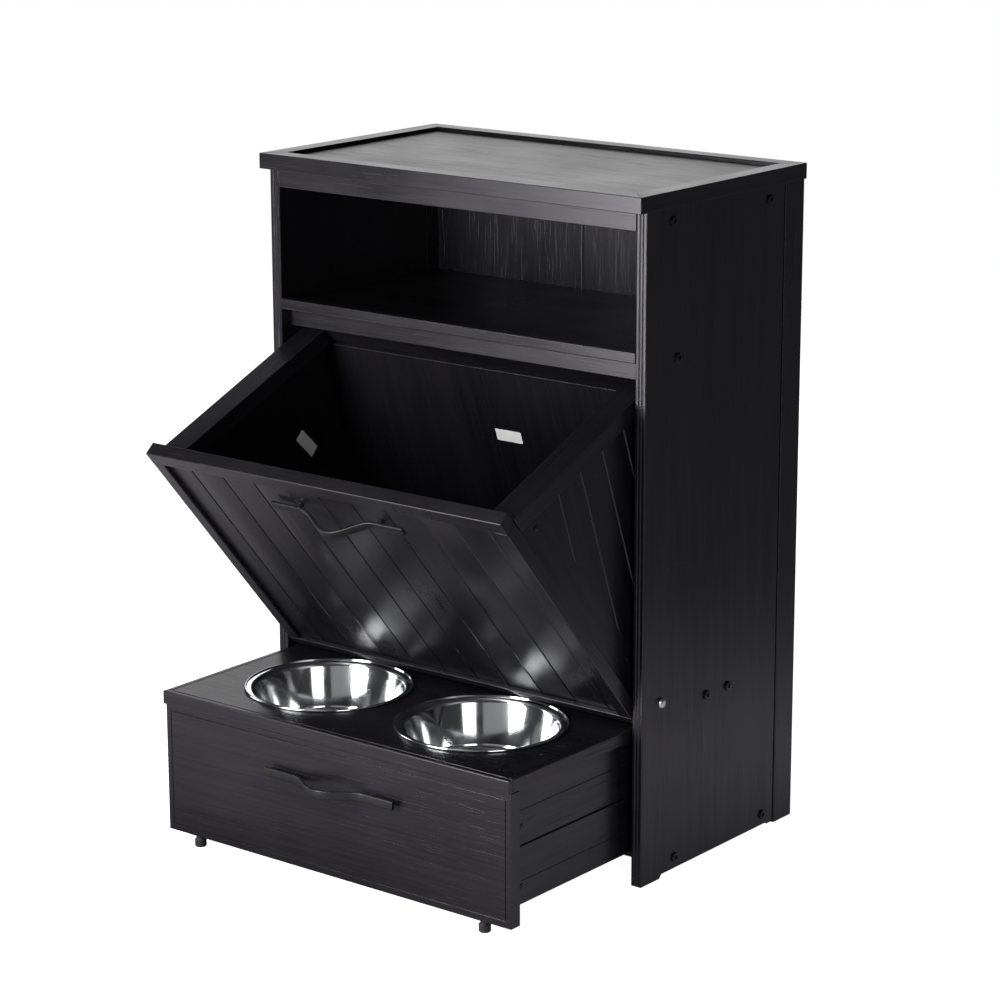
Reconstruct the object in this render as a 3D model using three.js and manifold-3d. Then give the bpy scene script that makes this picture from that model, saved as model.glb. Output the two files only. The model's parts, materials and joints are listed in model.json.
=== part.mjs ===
// Pet food station: a cabinet with an open shelf, a tilt-out food bin and a
// pull-out drawer that carries two feeding bowls. Millimetres, +Z up, +Y to the back.
// It is shown with the bin tipped open and the drawer pulled out.
import * as THREE from "three";
import { mergeVertices } from "three/addons/utils/BufferGeometryUtils.js";
import Module from "manifold-3d";

const wasm = await Module();
wasm.setup();

// ---------------------------------------------------------------- driving sizes
const WIDTH = 600; // over the cap
const DEPTH = 353; // over the cap
const HEIGHT = 860; // floor to the top of the cap
const BOARD = 15.4; // boards and rails

const CAP_HEIGHT = 20;
const CAP_TRIM = 25; // width of the trim round the top
const CAP_RECESS = 5; // top board below the trim
const SIDE_OVERHANG = 3; // cap past the side panels
const FRONT_OVERHANG = 16.4; // cap past the front plane

const LEG_DEPTH = 41.5; // rear leg, front to back
const LEG_REVEAL = 3.2; // shadow groove between the side panel and the rear leg
const FRONT_FOOT = 39; // length of the foot left at a side panel's front corner
const FOOT_RISE = 5; // side panel's lower edge behind that foot

const FASCIA = 24; // top front rail, and the braces under the top
const BRACE_DEPTH = 24;
const BRACE_Y = 101; // braces sit this far before and behind the middle
const SHELF_OPENING = 151.2; // clear height of the open shelf
const SHELF_LIP = 13.5; // height of the lip along the shelf's front
const LIP_STAND = 6.5; // lip above the shelf
const BACK_BOARD = 10; // thickness of the back boards
const BACK_INSET = 7; // their rear face, from the back of the cabinet
const BACK_BOARD_WIDTH = 246;

const STOP_HEIGHT = 23.8; // rail under the lip that stops the bin, both ways
const STOP_DEPTH = 29.3;

const BASE_RISE = 7; // base rails above the floor
const BASE_RAIL = 25; // height of the base rails
const BASE_FRONT_SETBACK = 64; // front base rail behind the front plane
const BASE_BACK_INSET = 62; // back base rail before the back
const RUNNER = 4.2; // thickness of the angle runners that the drawer slides on
const RUNNER_HEIGHT = 28;
const RUNNER_WIDTH = 30;
const REST_DEPTH = 78; // cross board that the closed bin rests on
const REST_SETBACK = 121;

const BIN_PANEL = 18; // thickness of the bin's framed front
const BIN_RAIL = 20; // height of its top rail
const BIN_RAIL_LOW = 11; // height of its bottom rail
const BIN_STILE = 18; // width of its stiles
const BEAD_RECESS = 6; // beaded board behind the frame's face
const BEAD_BOARD = 8; // thickness of the beaded boards
const FRONT_BEAD_PITCH = 52;
const FRONT_BEAD_FIRST = 38;
const SIDE_BEAD_PITCH = 46;
const SIDE_BEAD_FIRST = 42;
const BEAD_WIDTH = 3;
const BEAD_DEPTH = 2;
const BIN_TOP_GAP = 19.2; // gap between the bin's front and the shelf's lip
const BIN_TILT = 40.7; // degrees, closed to open
const BIN_WALL_SLOPE = 20.5; // degrees from upright, back wall and side beads
const RIM_SLOPE = 18; // degrees, the rim falls towards the back
const RIM_WIDTH = 36;
const RIM_HEIGHT = 22;
const RIM_SLOT = 8; // how far the bin's walls reach up into the rim
const RIM_FRONT_GAP = 2.5; // open joint between the rim and the bin's front
const RIM_BACK = 16; // front-to-back size of the rear rim
const WALL = 13; // the side stile's thickness
const WALL_STILE = 42.6; // its front-to-back size
const WALL_INSET = 5.6; // its outer face, from the ends of the bin's front
const BIN_BACK = 9;
const BIN_FLOOR = 10;
const PIVOT_SETBACK = 38; // pivot behind the front plane
const PIVOT_RISE = 7.2; // pivot above the rest board
const LUG_DROP = 16.2; // side stile below the pivot

const DRAWER_TRAVEL = 235;
const DRAWER_FRONT = 17; // thickness
const DRAWER_FRONT_DROP = 21; // front panel below the drawer's sides
const DRAWER_SIDE = 14;
const DRAWER_SIDE_INSET = 8.6; // drawer side, from the end of its front panel
const DRAWER_HEIGHT = 147.7;
const DRAWER_LENGTH = 298;
const BOWL_BOARD = 17.5;
const BOWL_BOARD_NOSE = 4.7; // bowl board past the drawer's front
const EDGE_TRIM = 8; // trim strips round the bowl board
const BOWL_RIM = 216; // diameter over the rolled rim
const BOWL_PITCH = 248; // between the two bowls' middles
const BOWL_DEPTH = 65;
const BOWL_SET = 143; // bowl centre behind the board's front edge
const BOWL_SHEET = 1.2; // thickness of the steel
const RIM_ROLL = 1.7; // radius of the rolled rim
const RIM_FLANGE = 7; // flat flange inside the roll
const BOWL_TAPER = 14; // how far the wall comes in on its way down
const GLIDE_RADIUS = 7.5;
const GLIDE_INSET = 46.6;

const HANDLE_LENGTH = 207;
const HANDLE_END = 45; // straight part at each end
const HANDLE_BOW = 25; // how far the middle stands out from the ends
const HANDLE_STRAP = 4; // thickness of the flat bar
const HANDLE_HEIGHT = 11;
const HANDLE_STAND = 6.5; // bar's inner face off the panel, at its ends
const POST_PITCH = 128; // between the two posts that hold a handle
const POST_RADIUS = 4.5;
const BIN_HANDLE_DROP = 54; // handle's middle below the top of the bin's front
const BIN_HANDLE_OFFSET = 6; // handle's middle to the right of the bin's middle
const DRAWER_HANDLE_DROP = 50.5;
const DRAWER_HANDLE_OFFSET = 1.5;

const PIVOT_RADIUS = 3;
const PIVOT_HEAD = 6.5; // radius of the bolt head
const PIVOT_HEAD_HEIGHT = 4.5;

// ---------------------------------------------------------------- clearances
const GAP = 0.3; // between pieces that touch
const BIN_SIDE_CLEAR = 1.8; // bin front to side panel
const DRAWER_SIDE_CLEAR = 3;
const RUNNER_CLEAR = 1.3; // runner's end behind the closed drawer's front
const BOWL_CLEAR = 5.1; // rest board above the bowl board, over the bowl rims
const STOP_CLEAR = 1.1; // open bin's rim under the stop rail
const STOP_FACE_CLEAR = 0.4; // closed bin's front before the stop rail
const SWING_CLEAR = 2; // bin's rear corner under the shelf
const BIN_BACK_CLEAR = 3.1; // closed bin to the back boards
const BIN_LOWER_CLEAR = 10; // bin front's lower edge above the rest board
const PIN_CLEAR = 0.08;
const BOWL_HOLE_CLEAR = 0.6;

// ---------------------------------------------------------------- materials
const blackBoard = (name) =>
  new THREE.MeshStandardMaterial({ name, color: 0x1c1b1e, roughness: 0.42, metalness: 0 });
const BLACK_WOOD = blackBoard("black_wood");
const TOP_WOOD = new THREE.MeshStandardMaterial({
  name: "top_wood",
  color: 0x2a292c,
  roughness: 0.36,
  metalness: 0,
});
const STEEL = new THREE.MeshStandardMaterial({
  name: "polished_steel",
  color: 0xd4d5d8,
  roughness: 0.08,
  metalness: 1,
});
const HANDLE_BLACK = new THREE.MeshStandardMaterial({
  name: "handle_black",
  color: 0x151517,
  roughness: 0.3,
  metalness: 0.6,
});
const ZINC = new THREE.MeshStandardMaterial({
  name: "zinc",
  color: 0xa9abb0,
  roughness: 0.3,
  metalness: 1,
});
const GLIDE_BLACK = new THREE.MeshStandardMaterial({
  name: "glide_black",
  color: 0x101011,
  roughness: 0.6,
  metalness: 0,
});

// ---------------------------------------------------------------- derived places
const radians = THREE.MathUtils.degToRad;

const sideOuter = WIDTH / 2 - SIDE_OVERHANG;
const sideInner = sideOuter - BOARD;
const front = -DEPTH / 2 + FRONT_OVERHANG;
const back = DEPTH / 2;
const capBottom = HEIGHT - CAP_HEIGHT;
const panelTop = capBottom - GAP;
const legFront = back - LEG_DEPTH;
const panelBack = legFront - LEG_REVEAL;
const railReach = sideInner - GAP; // half length of what runs between the side panels

const backBoardRear = back - BACK_INSET;
const backBoardFront = backBoardRear - BACK_BOARD;
const fasciaBottom = panelTop - FASCIA;
const shelfTop = fasciaBottom - SHELF_OPENING;
const shelfBottom = shelfTop - BOARD;
const lipTop = shelfTop + LIP_STAND;
const lipBottom = lipTop - SHELF_LIP;
const stopFront = front + BIN_PANEL + STOP_FACE_CLEAR;
const stopBack = stopFront + STOP_DEPTH;
const stopTop = lipBottom - GAP;
const stopBottom = stopTop - STOP_HEIGHT;

const baseTop = BASE_RISE + BASE_RAIL;
const runnerTop = baseTop + GAP + RUNNER;
const drawerBottom = runnerTop + 2 * GAP;
const drawerTop = drawerBottom + DRAWER_HEIGHT;
const bowlBoardBottom = drawerTop + GAP;
const bowlBoardTop = bowlBoardBottom + BOWL_BOARD;
const restBottom = bowlBoardTop + BOWL_CLEAR;
const restTop = restBottom + BOARD;
const drawerHalf = sideInner - DRAWER_SIDE_CLEAR;

const pivotY = front + PIVOT_SETBACK;
const pivotZ = restTop + PIVOT_RISE;
const binHalf = sideInner - BIN_SIDE_CLEAR;
const binBottom = restTop + BIN_LOWER_CLEAR;
const binTop = stopTop - BIN_TOP_GAP;
const binPanelBack = front + BIN_PANEL;
const binFloorBottom = restTop + GAP;
const wallOuter = binHalf - WALL_INSET;
const wallInner = wallOuter - WALL;
const boardOuter = wallOuter - 1;
const boardInner = boardOuter - BEAD_BOARD;
const stileBack = binPanelBack + GAP + WALL_STILE;

// The rim line, closed: it clears the stop rail when the bin is open, and the bin's
// rear corner swings under the shelf.
const rimFall = Math.tan(radians(RIM_SLOPE));
const rimBackY = backBoardFront - BIN_BACK_CLEAR;
const tilt = radians(BIN_TILT);
const stopEdge = closedPlace(stopBack, stopBottom);
const rimUnderStop = stopEdge.z - STOP_CLEAR + (stopEdge.y - binPanelBack) * rimFall;
const swingReach = shelfBottom - SWING_CLEAR - pivotZ;
const cornerHeight = Math.sqrt(Math.max(swingReach ** 2 - (rimBackY - pivotY) ** 2, 0));
const rimUnderShelf = pivotZ + cornerHeight + (rimBackY - binPanelBack) * rimFall;
const rimFront = Math.min(rimUnderStop, rimUnderShelf, binTop - BIN_RAIL / 2);
const rimTopAt = (y) => rimFront - (y - binPanelBack) * rimFall;
const rimDrop = (size) => size / Math.cos(radians(RIM_SLOPE)); // upright height of a size square to the rim
const wallTopAt = (y) => rimTopAt(y) - rimDrop(RIM_HEIGHT - RIM_SLOT) - GAP;

// Rear wall of the bin: square-cut plane that leans back at its top.
const wallLean = Math.tan(radians(BIN_WALL_SLOPE));
const rearTopZ = rimTopAt(rimBackY);
const rearFaceAt = (z) => rimBackY - (rearTopZ - z) * wallLean; // outer face of the back wall

// Where a point of the open cabinet lies against the closed bin.
function closedPlace(y, z) {
  const dy = y - pivotY;
  const dz = z - pivotZ;
  return {
    y: pivotY + dy * Math.cos(tilt) + dz * Math.sin(tilt),
    z: pivotZ - dy * Math.sin(tilt) + dz * Math.cos(tilt),
  };
}

// ---------------------------------------------------------------- geometry helpers
const AXIS_X = new THREE.Vector3(1, 0, 0);
const AXIS_Y = new THREE.Vector3(0, 1, 0);
const AXIS_Z = new THREE.Vector3(0, 0, 1);

function outline(points) {
  return new THREE.Shape(points.map(([u, v]) => new THREE.Vector2(u, v)));
}

function prism(shape, length, options = {}) {
  return new THREE.ExtrudeGeometry(shape, { depth: length, bevelEnabled: false, ...options });
}

// A section of (y, z) points carried along X.
function alongX(points, x0, x1) {
  const turn = new THREE.Matrix4().makeBasis(AXIS_Y, AXIS_Z, AXIS_X);
  return prism(outline(points), x1 - x0).applyMatrix4(turn).translate(x0, 0, 0);
}

// A section of (x, z) points carried along Y.
function alongY(points, y0, y1) {
  const turn = new THREE.Matrix4().makeBasis(AXIS_Z, AXIS_X, AXIS_Y);
  const swapped = points.map(([x, z]) => [z, x]);
  return prism(outline(swapped), y1 - y0).applyMatrix4(turn).translate(0, y0, 0);
}

// A section of (x, y) points carried along Z.
function alongZ(points, z0, z1) {
  return prism(outline(points), z1 - z0).translate(0, 0, z0);
}

// A rectangle with its four corners eased.
function easedRect(u0, u1, v0, v1, ease = 0.8) {
  return [
    [u0 + ease, v0],
    [u1 - ease, v0],
    [u1, v0 + ease],
    [u1, v1 - ease],
    [u1 - ease, v1],
    [u0 + ease, v1],
    [u0, v1 - ease],
    [u0, v0 + ease],
  ];
}

function solid(geometry) {
  const bare = geometry.clone();
  bare.deleteAttribute("normal");
  bare.deleteAttribute("uv");
  const merged = mergeVertices(bare, 1e-4);
  return new wasm.Manifold(
    new wasm.Mesh({
      numProp: 3,
      vertProperties: merged.attributes.position.array,
      triVerts: new Uint32Array(merged.index.array),
    }),
  );
}

function geometryOf(body) {
  const mesh = body.getMesh();
  const geometry = new THREE.BufferGeometry();
  geometry.setAttribute("position", new THREE.BufferAttribute(mesh.vertProperties, 3));
  geometry.setIndex(new THREE.BufferAttribute(mesh.triVerts, 1));
  const flat = geometry.toNonIndexed();
  flat.computeVertexNormals();
  return flat;
}

function cut(geometry, ...tools) {
  return geometryOf(tools.reduce((body, tool) => body.subtract(solid(tool)), solid(geometry)));
}

function joined(geometry, ...others) {
  return geometryOf(others.reduce((body, other) => body.add(solid(other)), solid(geometry)));
}

function common(first, second) {
  return geometryOf(solid(first).intersect(solid(second)));
}

function part(name, geometry, material) {
  const mesh = new THREE.Mesh(geometry, material);
  mesh.name = name;
  return mesh;
}

// A rod along X.
function rodX(radius, x0, x1, y, z, sides = 24) {
  const rod = new THREE.CylinderGeometry(radius, radius, x1 - x0, sides);
  return rod.rotateZ(-Math.PI / 2).translate((x0 + x1) / 2, y, z);
}

// The mirror image of points across X = 0.
const mirrored = (points) => points.map(([x, v]) => [-x, v]);

const SIDES = [
  ["left", -1],
  ["right", 1],
];

// Carries a section along X between two distances from the middle, on either side.
function alongXOn(sign, points, inner, outer) {
  return sign > 0 ? alongX(points, inner, outer) : alongX(points, -outer, -inner);
}

function alongZOn(sign, points, z0, z1) {
  return alongZ(sign > 0 ? points : mirrored(points), z0, z1);
}

// ---------------------------------------------------------------- cabinet
const TONGUE = 7; // thickness of the rear leg's tongue
const TONGUE_REACH = 6;
const BACK_SLOT = 4; // depth of the leg's slot for the back boards
const EDGE_LINE = 0.9; // shallow lines along the side panel's front edge
const EDGE_LINE_PLACES = [10, 5.4]; // from the outer face

// Section of the right side panel, from above: eased front edge with two shallow lines,
// and a slot in its rear edge for the leg's tongue.
function sidePanelSection() {
  const lines = EDGE_LINE_PLACES.flatMap((place) => [
    [sideOuter - place - EDGE_LINE, front],
    [sideOuter - place, front + EDGE_LINE],
    [sideOuter - place + EDGE_LINE, front],
  ]);
  const slotIn = (sideInner + sideOuter - TONGUE) / 2 - GAP;
  const slotOut = (sideInner + sideOuter + TONGUE) / 2 + GAP;
  const slotEnd = panelBack - TONGUE_REACH - GAP;
  return [
    [sideInner + 1, front],
    ...lines,
    [sideOuter - 1, front],
    [sideOuter, front + 1],
    [sideOuter, panelBack - 1],
    [sideOuter - 1, panelBack],
    [slotOut, panelBack],
    [slotOut, slotEnd],
    [slotIn, slotEnd],
    [slotIn, panelBack],
    [sideInner, panelBack],
    [sideInner, front + 1],
  ];
}

function sidePanel(sign) {
  const relief = alongXOn(
    sign,
    [
      [front + FRONT_FOOT, -1],
      [back, -1],
      [back, FOOT_RISE],
      [front + FRONT_FOOT + FOOT_RISE, FOOT_RISE],
    ],
    sideInner - 1,
    sideOuter + 1,
  );
  const pinHole =
    sign > 0
      ? rodX(PIVOT_RADIUS + PIN_CLEAR, sideInner - 1, sideOuter + 1, pivotY, pivotZ)
      : rodX(PIVOT_RADIUS + PIN_CLEAR, -sideOuter - 1, -sideInner + 1, pivotY, pivotZ);
  return cut(alongZOn(sign, sidePanelSection(), 0, panelTop), relief, pinHole);
}

// Section of the right rear leg, from above: a tongue towards the side panel, and a slot
// in its inner face for the back boards.
function rearLegSection() {
  const tongueIn = (sideInner + sideOuter - TONGUE) / 2;
  const tongueOut = (sideInner + sideOuter + TONGUE) / 2;
  const tongueEnd = panelBack - TONGUE_REACH;
  return [
    [sideInner, legFront],
    [tongueIn, legFront],
    [tongueIn, tongueEnd],
    [tongueOut, tongueEnd],
    [tongueOut, legFront],
    [sideOuter - 1, legFront],
    [sideOuter, legFront + 1],
    [sideOuter, back - 1],
    [sideOuter - 1, back],
    [sideInner, back],
    [sideInner, backBoardRear + GAP],
    [sideInner + BACK_SLOT, backBoardRear + GAP],
    [sideInner + BACK_SLOT, backBoardFront - GAP],
    [sideInner, backBoardFront - GAP],
  ];
}

// The four trim strips of the cap meet in mitres.
function capTrims() {
  const x1 = WIDTH / 2;
  const y1 = DEPTH / 2;
  const x0 = x1 - CAP_TRIM;
  const y0 = y1 - CAP_TRIM;
  const m = GAP / 2;
  const strip = (points) => alongZ(points, capBottom, HEIGHT);
  return [
    ["cap_trim_front", strip([[-x1 + m, -y1], [x1 - m, -y1], [x0 - m, -y0], [-x0 + m, -y0]])],
    ["cap_trim_back", strip([[-x0 + m, y0], [x0 - m, y0], [x1 - m, y1], [-x1 + m, y1]])],
    ["cap_trim_left", strip([[-x1, -y1 + m], [-x0, -y0 + m], [-x0, y0 - m], [-x1, y1 - m]])],
    ["cap_trim_right", strip([[x0, -y0 + m], [x1, -y1 + m], [x1, y1 - m], [x0, y0 - m]])],
  ];
}

function topBoard() {
  const x = WIDTH / 2 - CAP_TRIM - GAP;
  const y = DEPTH / 2 - CAP_TRIM - GAP;
  return alongX(easedRect(-y, y, capBottom, HEIGHT - CAP_RECESS), -x, x);
}

// Upright boards across the back, let into the legs' slots.
function backBoards() {
  const reach = sideInner + BACK_SLOT - GAP;
  const seams = [];
  for (let x = -sideInner + BACK_BOARD_WIDTH; x < sideInner - BACK_BOARD / 2; x += BACK_BOARD_WIDTH)
    seams.push(x);
  const edges = [-reach, ...seams, reach];
  return edges.slice(1).map((end, i) => {
    const start = edges[i] + (i > 0 ? GAP : 0);
    const section = easedRect(start, end, backBoardFront, backBoardRear, 1);
    return [`back_board_${i + 1}`, alongZ(section, FOOT_RISE, panelTop)];
  });
}

// A board that runs across between the side panels.
function crossBoard(y0, y1, z0, z1) {
  return alongX(easedRect(y0, y1, z0, z1), -railReach, railReach);
}

// Shelf, from its side: its front edge is stepped to lie on the stop rail behind the lip.
function shelfBoard() {
  const y0 = front + BOARD + GAP;
  const y1 = backBoardFront - GAP;
  const section = [
    [y0, lipBottom],
    [stopBack + GAP, lipBottom],
    [stopBack + GAP, shelfBottom],
    [y1, shelfBottom],
    [y1, shelfTop],
    [y0 + 1, shelfTop],
    [y0, shelfTop - 1],
  ];
  return alongX(section, -railReach, railReach);
}

// Angle that lies on the base rails against the side panel, under a drawer side.
function drawerRunner(sign) {
  const outer = sideInner - GAP;
  const z0 = baseTop + GAP;
  const section = [
    [outer - RUNNER_WIDTH, z0],
    [outer, z0],
    [outer, z0 + RUNNER_HEIGHT],
    [outer - RUNNER, z0 + RUNNER_HEIGHT],
    [outer - RUNNER, runnerTop],
    [outer - RUNNER_WIDTH, runnerTop],
  ];
  const start = front + DRAWER_FRONT + RUNNER_CLEAR;
  return alongY(sign > 0 ? section : mirrored(section), start, panelBack);
}

function cabinet() {
  const group = new THREE.Group();
  for (const [side, sign] of SIDES) {
    group.add(part(`side_panel_${side}`, sidePanel(sign), BLACK_WOOD));
    group.add(part(`rear_leg_${side}`, alongZOn(sign, rearLegSection(), 0, panelTop), BLACK_WOOD));
    group.add(part(`drawer_runner_${side}`, drawerRunner(sign), BLACK_WOOD));
  }
  for (const [name, geometry] of capTrims()) group.add(part(name, geometry, BLACK_WOOD));
  for (const [name, geometry] of backBoards()) group.add(part(name, geometry, BLACK_WOOD));
  const boards = [
    ["fascia_rail", front, front + BOARD, fasciaBottom, panelTop],
    ["top_brace_front", -BRACE_Y - BRACE_DEPTH / 2, -BRACE_Y + BRACE_DEPTH / 2, fasciaBottom, panelTop],
    ["top_brace_back", BRACE_Y - BRACE_DEPTH / 2, BRACE_Y + BRACE_DEPTH / 2, fasciaBottom, panelTop],
    ["shelf_lip", front, front + BOARD, lipBottom, lipTop],
    ["bin_stop_rail", stopFront, stopBack, stopBottom, stopTop],
    ["bin_rest_board", front + REST_SETBACK, front + REST_SETBACK + REST_DEPTH, restBottom, restTop],
    ["base_rail_front", front + BASE_FRONT_SETBACK, front + BASE_FRONT_SETBACK + BOARD, BASE_RISE, baseTop],
    ["base_rail_back", back - BASE_BACK_INSET - BOARD, back - BASE_BACK_INSET, BASE_RISE, baseTop],
  ];
  for (const [name, y0, y1, z0, z1] of boards)
    group.add(part(name, crossBoard(y0, y1, z0, z1), BLACK_WOOD));
  group.add(part("shelf_board", shelfBoard(), BLACK_WOOD));
  group.add(part("top_board", topBoard(), TOP_WOOD));
  return group;
}

// ---------------------------------------------------------------- wave handle
// A flat bar with straight ends and a bowed middle, on two round posts. It is drawn as
// seen from above; the panel that it is fixed to is the line y = 0 and it stands out
// towards -Y. The bar and its posts are one body.
function waveHandle(middleX, panelFace, middleZ) {
  const half = HANDLE_LENGTH / 2;
  const bowHalf = half - HANDLE_END;
  const steps = 20;
  const near = [[-half, -HANDLE_STAND]];
  const far = [[-half, -HANDLE_STAND - HANDLE_STRAP]];
  for (let i = 0; i <= steps; i++) {
    const x = -bowHalf + (2 * bowHalf * i) / steps;
    const stand = HANDLE_STAND + (HANDLE_BOW / 2) * (1 + Math.cos((Math.PI * x) / bowHalf));
    const slope = (-HANDLE_BOW / 2) * (Math.PI / bowHalf) * Math.sin((Math.PI * x) / bowHalf);
    const stretch = Math.hypot(1, slope);
    near.push([x, -stand]);
    far.push([x - (HANDLE_STRAP * slope) / stretch, -stand - HANDLE_STRAP / stretch]);
  }
  near.push([half, -HANDLE_STAND]);
  far.push([half, -HANDLE_STAND - HANDLE_STRAP]);
  const ease = 0.7;
  const bar = prism(outline([...near, ...far.reverse()]), HANDLE_HEIGHT - 2 * ease, {
    bevelEnabled: true,
    bevelThickness: ease,
    bevelSize: ease,
    bevelOffset: -ease,
    bevelSegments: 1,
  }).translate(0, 0, -HANDLE_HEIGHT / 2 + ease);
  const tip = -HANDLE_STAND - HANDLE_STRAP / 2; // the posts end inside the bar
  const post = (x) =>
    new THREE.CylinderGeometry(POST_RADIUS, POST_RADIUS, -tip - GAP, 24).translate(x, (tip - GAP) / 2, 0);
  return joined(bar, post(-POST_PITCH / 2), post(POST_PITCH / 2)).translate(middleX, panelFace, middleZ);
}

// ---------------------------------------------------------------- food bin
const FRAME_SLOT = 6; // how far the beaded board reaches into the frame

// Section across a stile of the bin's front, with a slot for the beaded board on its
// inner edge; u runs from the outer edge inwards, y from the face back.
function slottedSection(size) {
  const slotFront = front + BEAD_RECESS - GAP;
  const slotBack = front + BEAD_RECESS + BEAD_BOARD + GAP;
  const slotEnd = size - FRAME_SLOT - GAP;
  return [
    [0.8, front],
    [size - 0.8, front],
    [size, front + 0.8],
    [size, slotFront],
    [slotEnd, slotFront],
    [slotEnd, slotBack],
    [size, slotBack],
    [size, binPanelBack],
    [0, binPanelBack],
    [0, front + 0.8],
  ];
}

// A rail runs the full width of the frame; its slot stops where the board ends.
function binFrontRail(size, outerZ, inwards) {
  const place = ([u, y]) => [y, outerZ + inwards * u];
  const solidSection = [
    [0, front + 0.8],
    [0.8, front],
    [size - 0.8, front],
    [size, front + 0.8],
    [size, binPanelBack],
    [0, binPanelBack],
  ];
  const slotSection = [
    [size - FRAME_SLOT - GAP, front + BEAD_RECESS - GAP],
    [size + 1, front + BEAD_RECESS - GAP],
    [size + 1, front + BEAD_RECESS + BEAD_BOARD + GAP],
    [size - FRAME_SLOT - GAP, front + BEAD_RECESS + BEAD_BOARD + GAP],
  ];
  const slotReach = binHalf - BIN_STILE + FRAME_SLOT + GAP;
  const rail = alongX(solidSection.map(place), -binHalf, binHalf);
  return cut(rail, alongX(slotSection.map(place), -slotReach, slotReach));
}

// The stiles stand between the two rails.
function binFrontStile(sign) {
  const section = slottedSection(BIN_STILE).map(([u, y]) => [binHalf - u, y]);
  return alongZOn(sign, section, binBottom + BIN_RAIL_LOW + GAP, binTop - BIN_RAIL - GAP);
}

// The front's beaded board, seen from above: V grooves at an even pitch from the left.
function frontBeadBoard() {
  const reach = binHalf - BIN_STILE + FRAME_SLOT;
  const face = front + BEAD_RECESS;
  const points = [[-reach, face]];
  const clear = binHalf - BIN_STILE;
  for (let x = -clear + FRONT_BEAD_FIRST; x < clear - 2 * BEAD_WIDTH; x += FRONT_BEAD_PITCH)
    points.push([x - BEAD_WIDTH / 2, face], [x, face + BEAD_DEPTH], [x + BEAD_WIDTH / 2, face]);
  points.push([reach, face], [reach, face + BEAD_BOARD], [-reach, face + BEAD_BOARD]);
  return alongZ(points, binBottom + BIN_RAIL_LOW - FRAME_SLOT, binTop - BIN_RAIL + FRAME_SLOT);
}

// Pivot hole in the outer face of a side stile; it stops short of the inside.
function pivotHole(sign) {
  const inner = wallInner + 1;
  const outer = wallOuter + 1;
  return rodX(
    PIVOT_RADIUS + PIN_CLEAR,
    sign > 0 ? inner : -outer,
    sign > 0 ? outer : -inner,
    pivotY,
    pivotZ,
  );
}

function binSideStile(sign) {
  const y0 = binPanelBack + GAP;
  const points = [
    [y0, pivotZ - LUG_DROP],
    [stileBack, pivotZ - LUG_DROP],
    [stileBack, wallTopAt(stileBack)],
    [y0, wallTopAt(y0)],
  ];
  return cut(alongXOn(sign, points, wallInner, wallOuter), pivotHole(sign));
}

// Outline of the side board behind its stile, closed: it ends at the back wall's outer face.
function sideBoardOutline() {
  const y0 = stileBack + GAP;
  const y1 = rearFaceAt(wallTopAt(rimBackY));
  return [
    [y0, binFloorBottom],
    [rearFaceAt(binFloorBottom), binFloorBottom],
    [y1, wallTopAt(y1)],
    [y0, wallTopAt(y0)],
  ];
}

// The side boards have V grooves that lean with the back wall. The grooved slab is made
// upright, turned to the lean, and cut to the wall's outline.
function binSideBoards(sign) {
  const outer = sign * boardOuter;
  const inner = sign * boardInner;
  const dip = sign * (boardOuter - BEAD_DEPTH);
  const reach = 500;
  const points = [
    [inner, -reach],
    [outer, -reach],
  ];
  const first = SIDE_BEAD_FIRST;
  for (let s = first - 4 * SIDE_BEAD_PITCH; s < reach - SIDE_BEAD_PITCH; s += SIDE_BEAD_PITCH)
    points.push([outer, s - BEAD_WIDTH / 2], [dip, s], [outer, s + BEAD_WIDTH / 2]);
  points.push([outer, reach], [inner, reach]);
  const slab = alongZ(points, -2 * reach, 2 * reach)
    .rotateX(-radians(BIN_WALL_SLOPE))
    .translate(0, stileBack, wallTopAt(stileBack));
  return common(slab, alongXOn(sign, sideBoardOutline(), boardInner - 1, boardOuter + 1));
}

// Side rim: a rail on top of the stile and boards, which stand in the slot in its underside.
function binSideRim(sign) {
  const y0 = binPanelBack + RIM_FRONT_GAP;
  const band = (top, bottom, from, to) => [
    [from, rimTopAt(from) - bottom],
    [to, rimTopAt(to) - bottom],
    [to, rimTopAt(to) - top],
    [from, rimTopAt(from) - top],
  ];
  const outerX = binHalf - 0.8;
  const rail = alongXOn(
    sign,
    band(0, rimDrop(RIM_HEIGHT), y0, rimBackY),
    outerX - RIM_WIDTH,
    outerX,
  );
  const slot = alongXOn(
    sign,
    band(rimDrop(RIM_HEIGHT - RIM_SLOT), rimDrop(RIM_HEIGHT) + 2, y0 - 5, rimBackY + 5),
    wallInner - GAP,
    wallOuter + GAP,
  );
  return cut(rail, slot);
}

function binRearRim() {
  const reach = binHalf - 0.8 - RIM_WIDTH - GAP;
  const lean = rimDrop(RIM_HEIGHT);
  const y0 = rimBackY - RIM_BACK;
  return alongX(
    [
      [y0, rimTopAt(y0) - lean],
      [rimBackY, rimTopAt(rimBackY) - lean],
      [rimBackY, rimTopAt(rimBackY)],
      [y0, rimTopAt(y0)],
    ],
    -reach,
    reach,
  );
}

// Back wall between the side boards, leaning back at its top.
function binBackWall() {
  const reach = boardInner - GAP;
  const top = rimTopAt(rimBackY) - rimDrop(RIM_HEIGHT) - GAP;
  const thick = BIN_BACK / Math.cos(radians(BIN_WALL_SLOPE));
  const foot = binFloorBottom;
  return alongX(
    [
      [rearFaceAt(foot) - thick, foot],
      [rearFaceAt(foot), foot],
      [rearFaceAt(top), top],
      [rearFaceAt(top) - thick, top],
    ],
    -reach,
    reach,
  );
}

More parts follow.
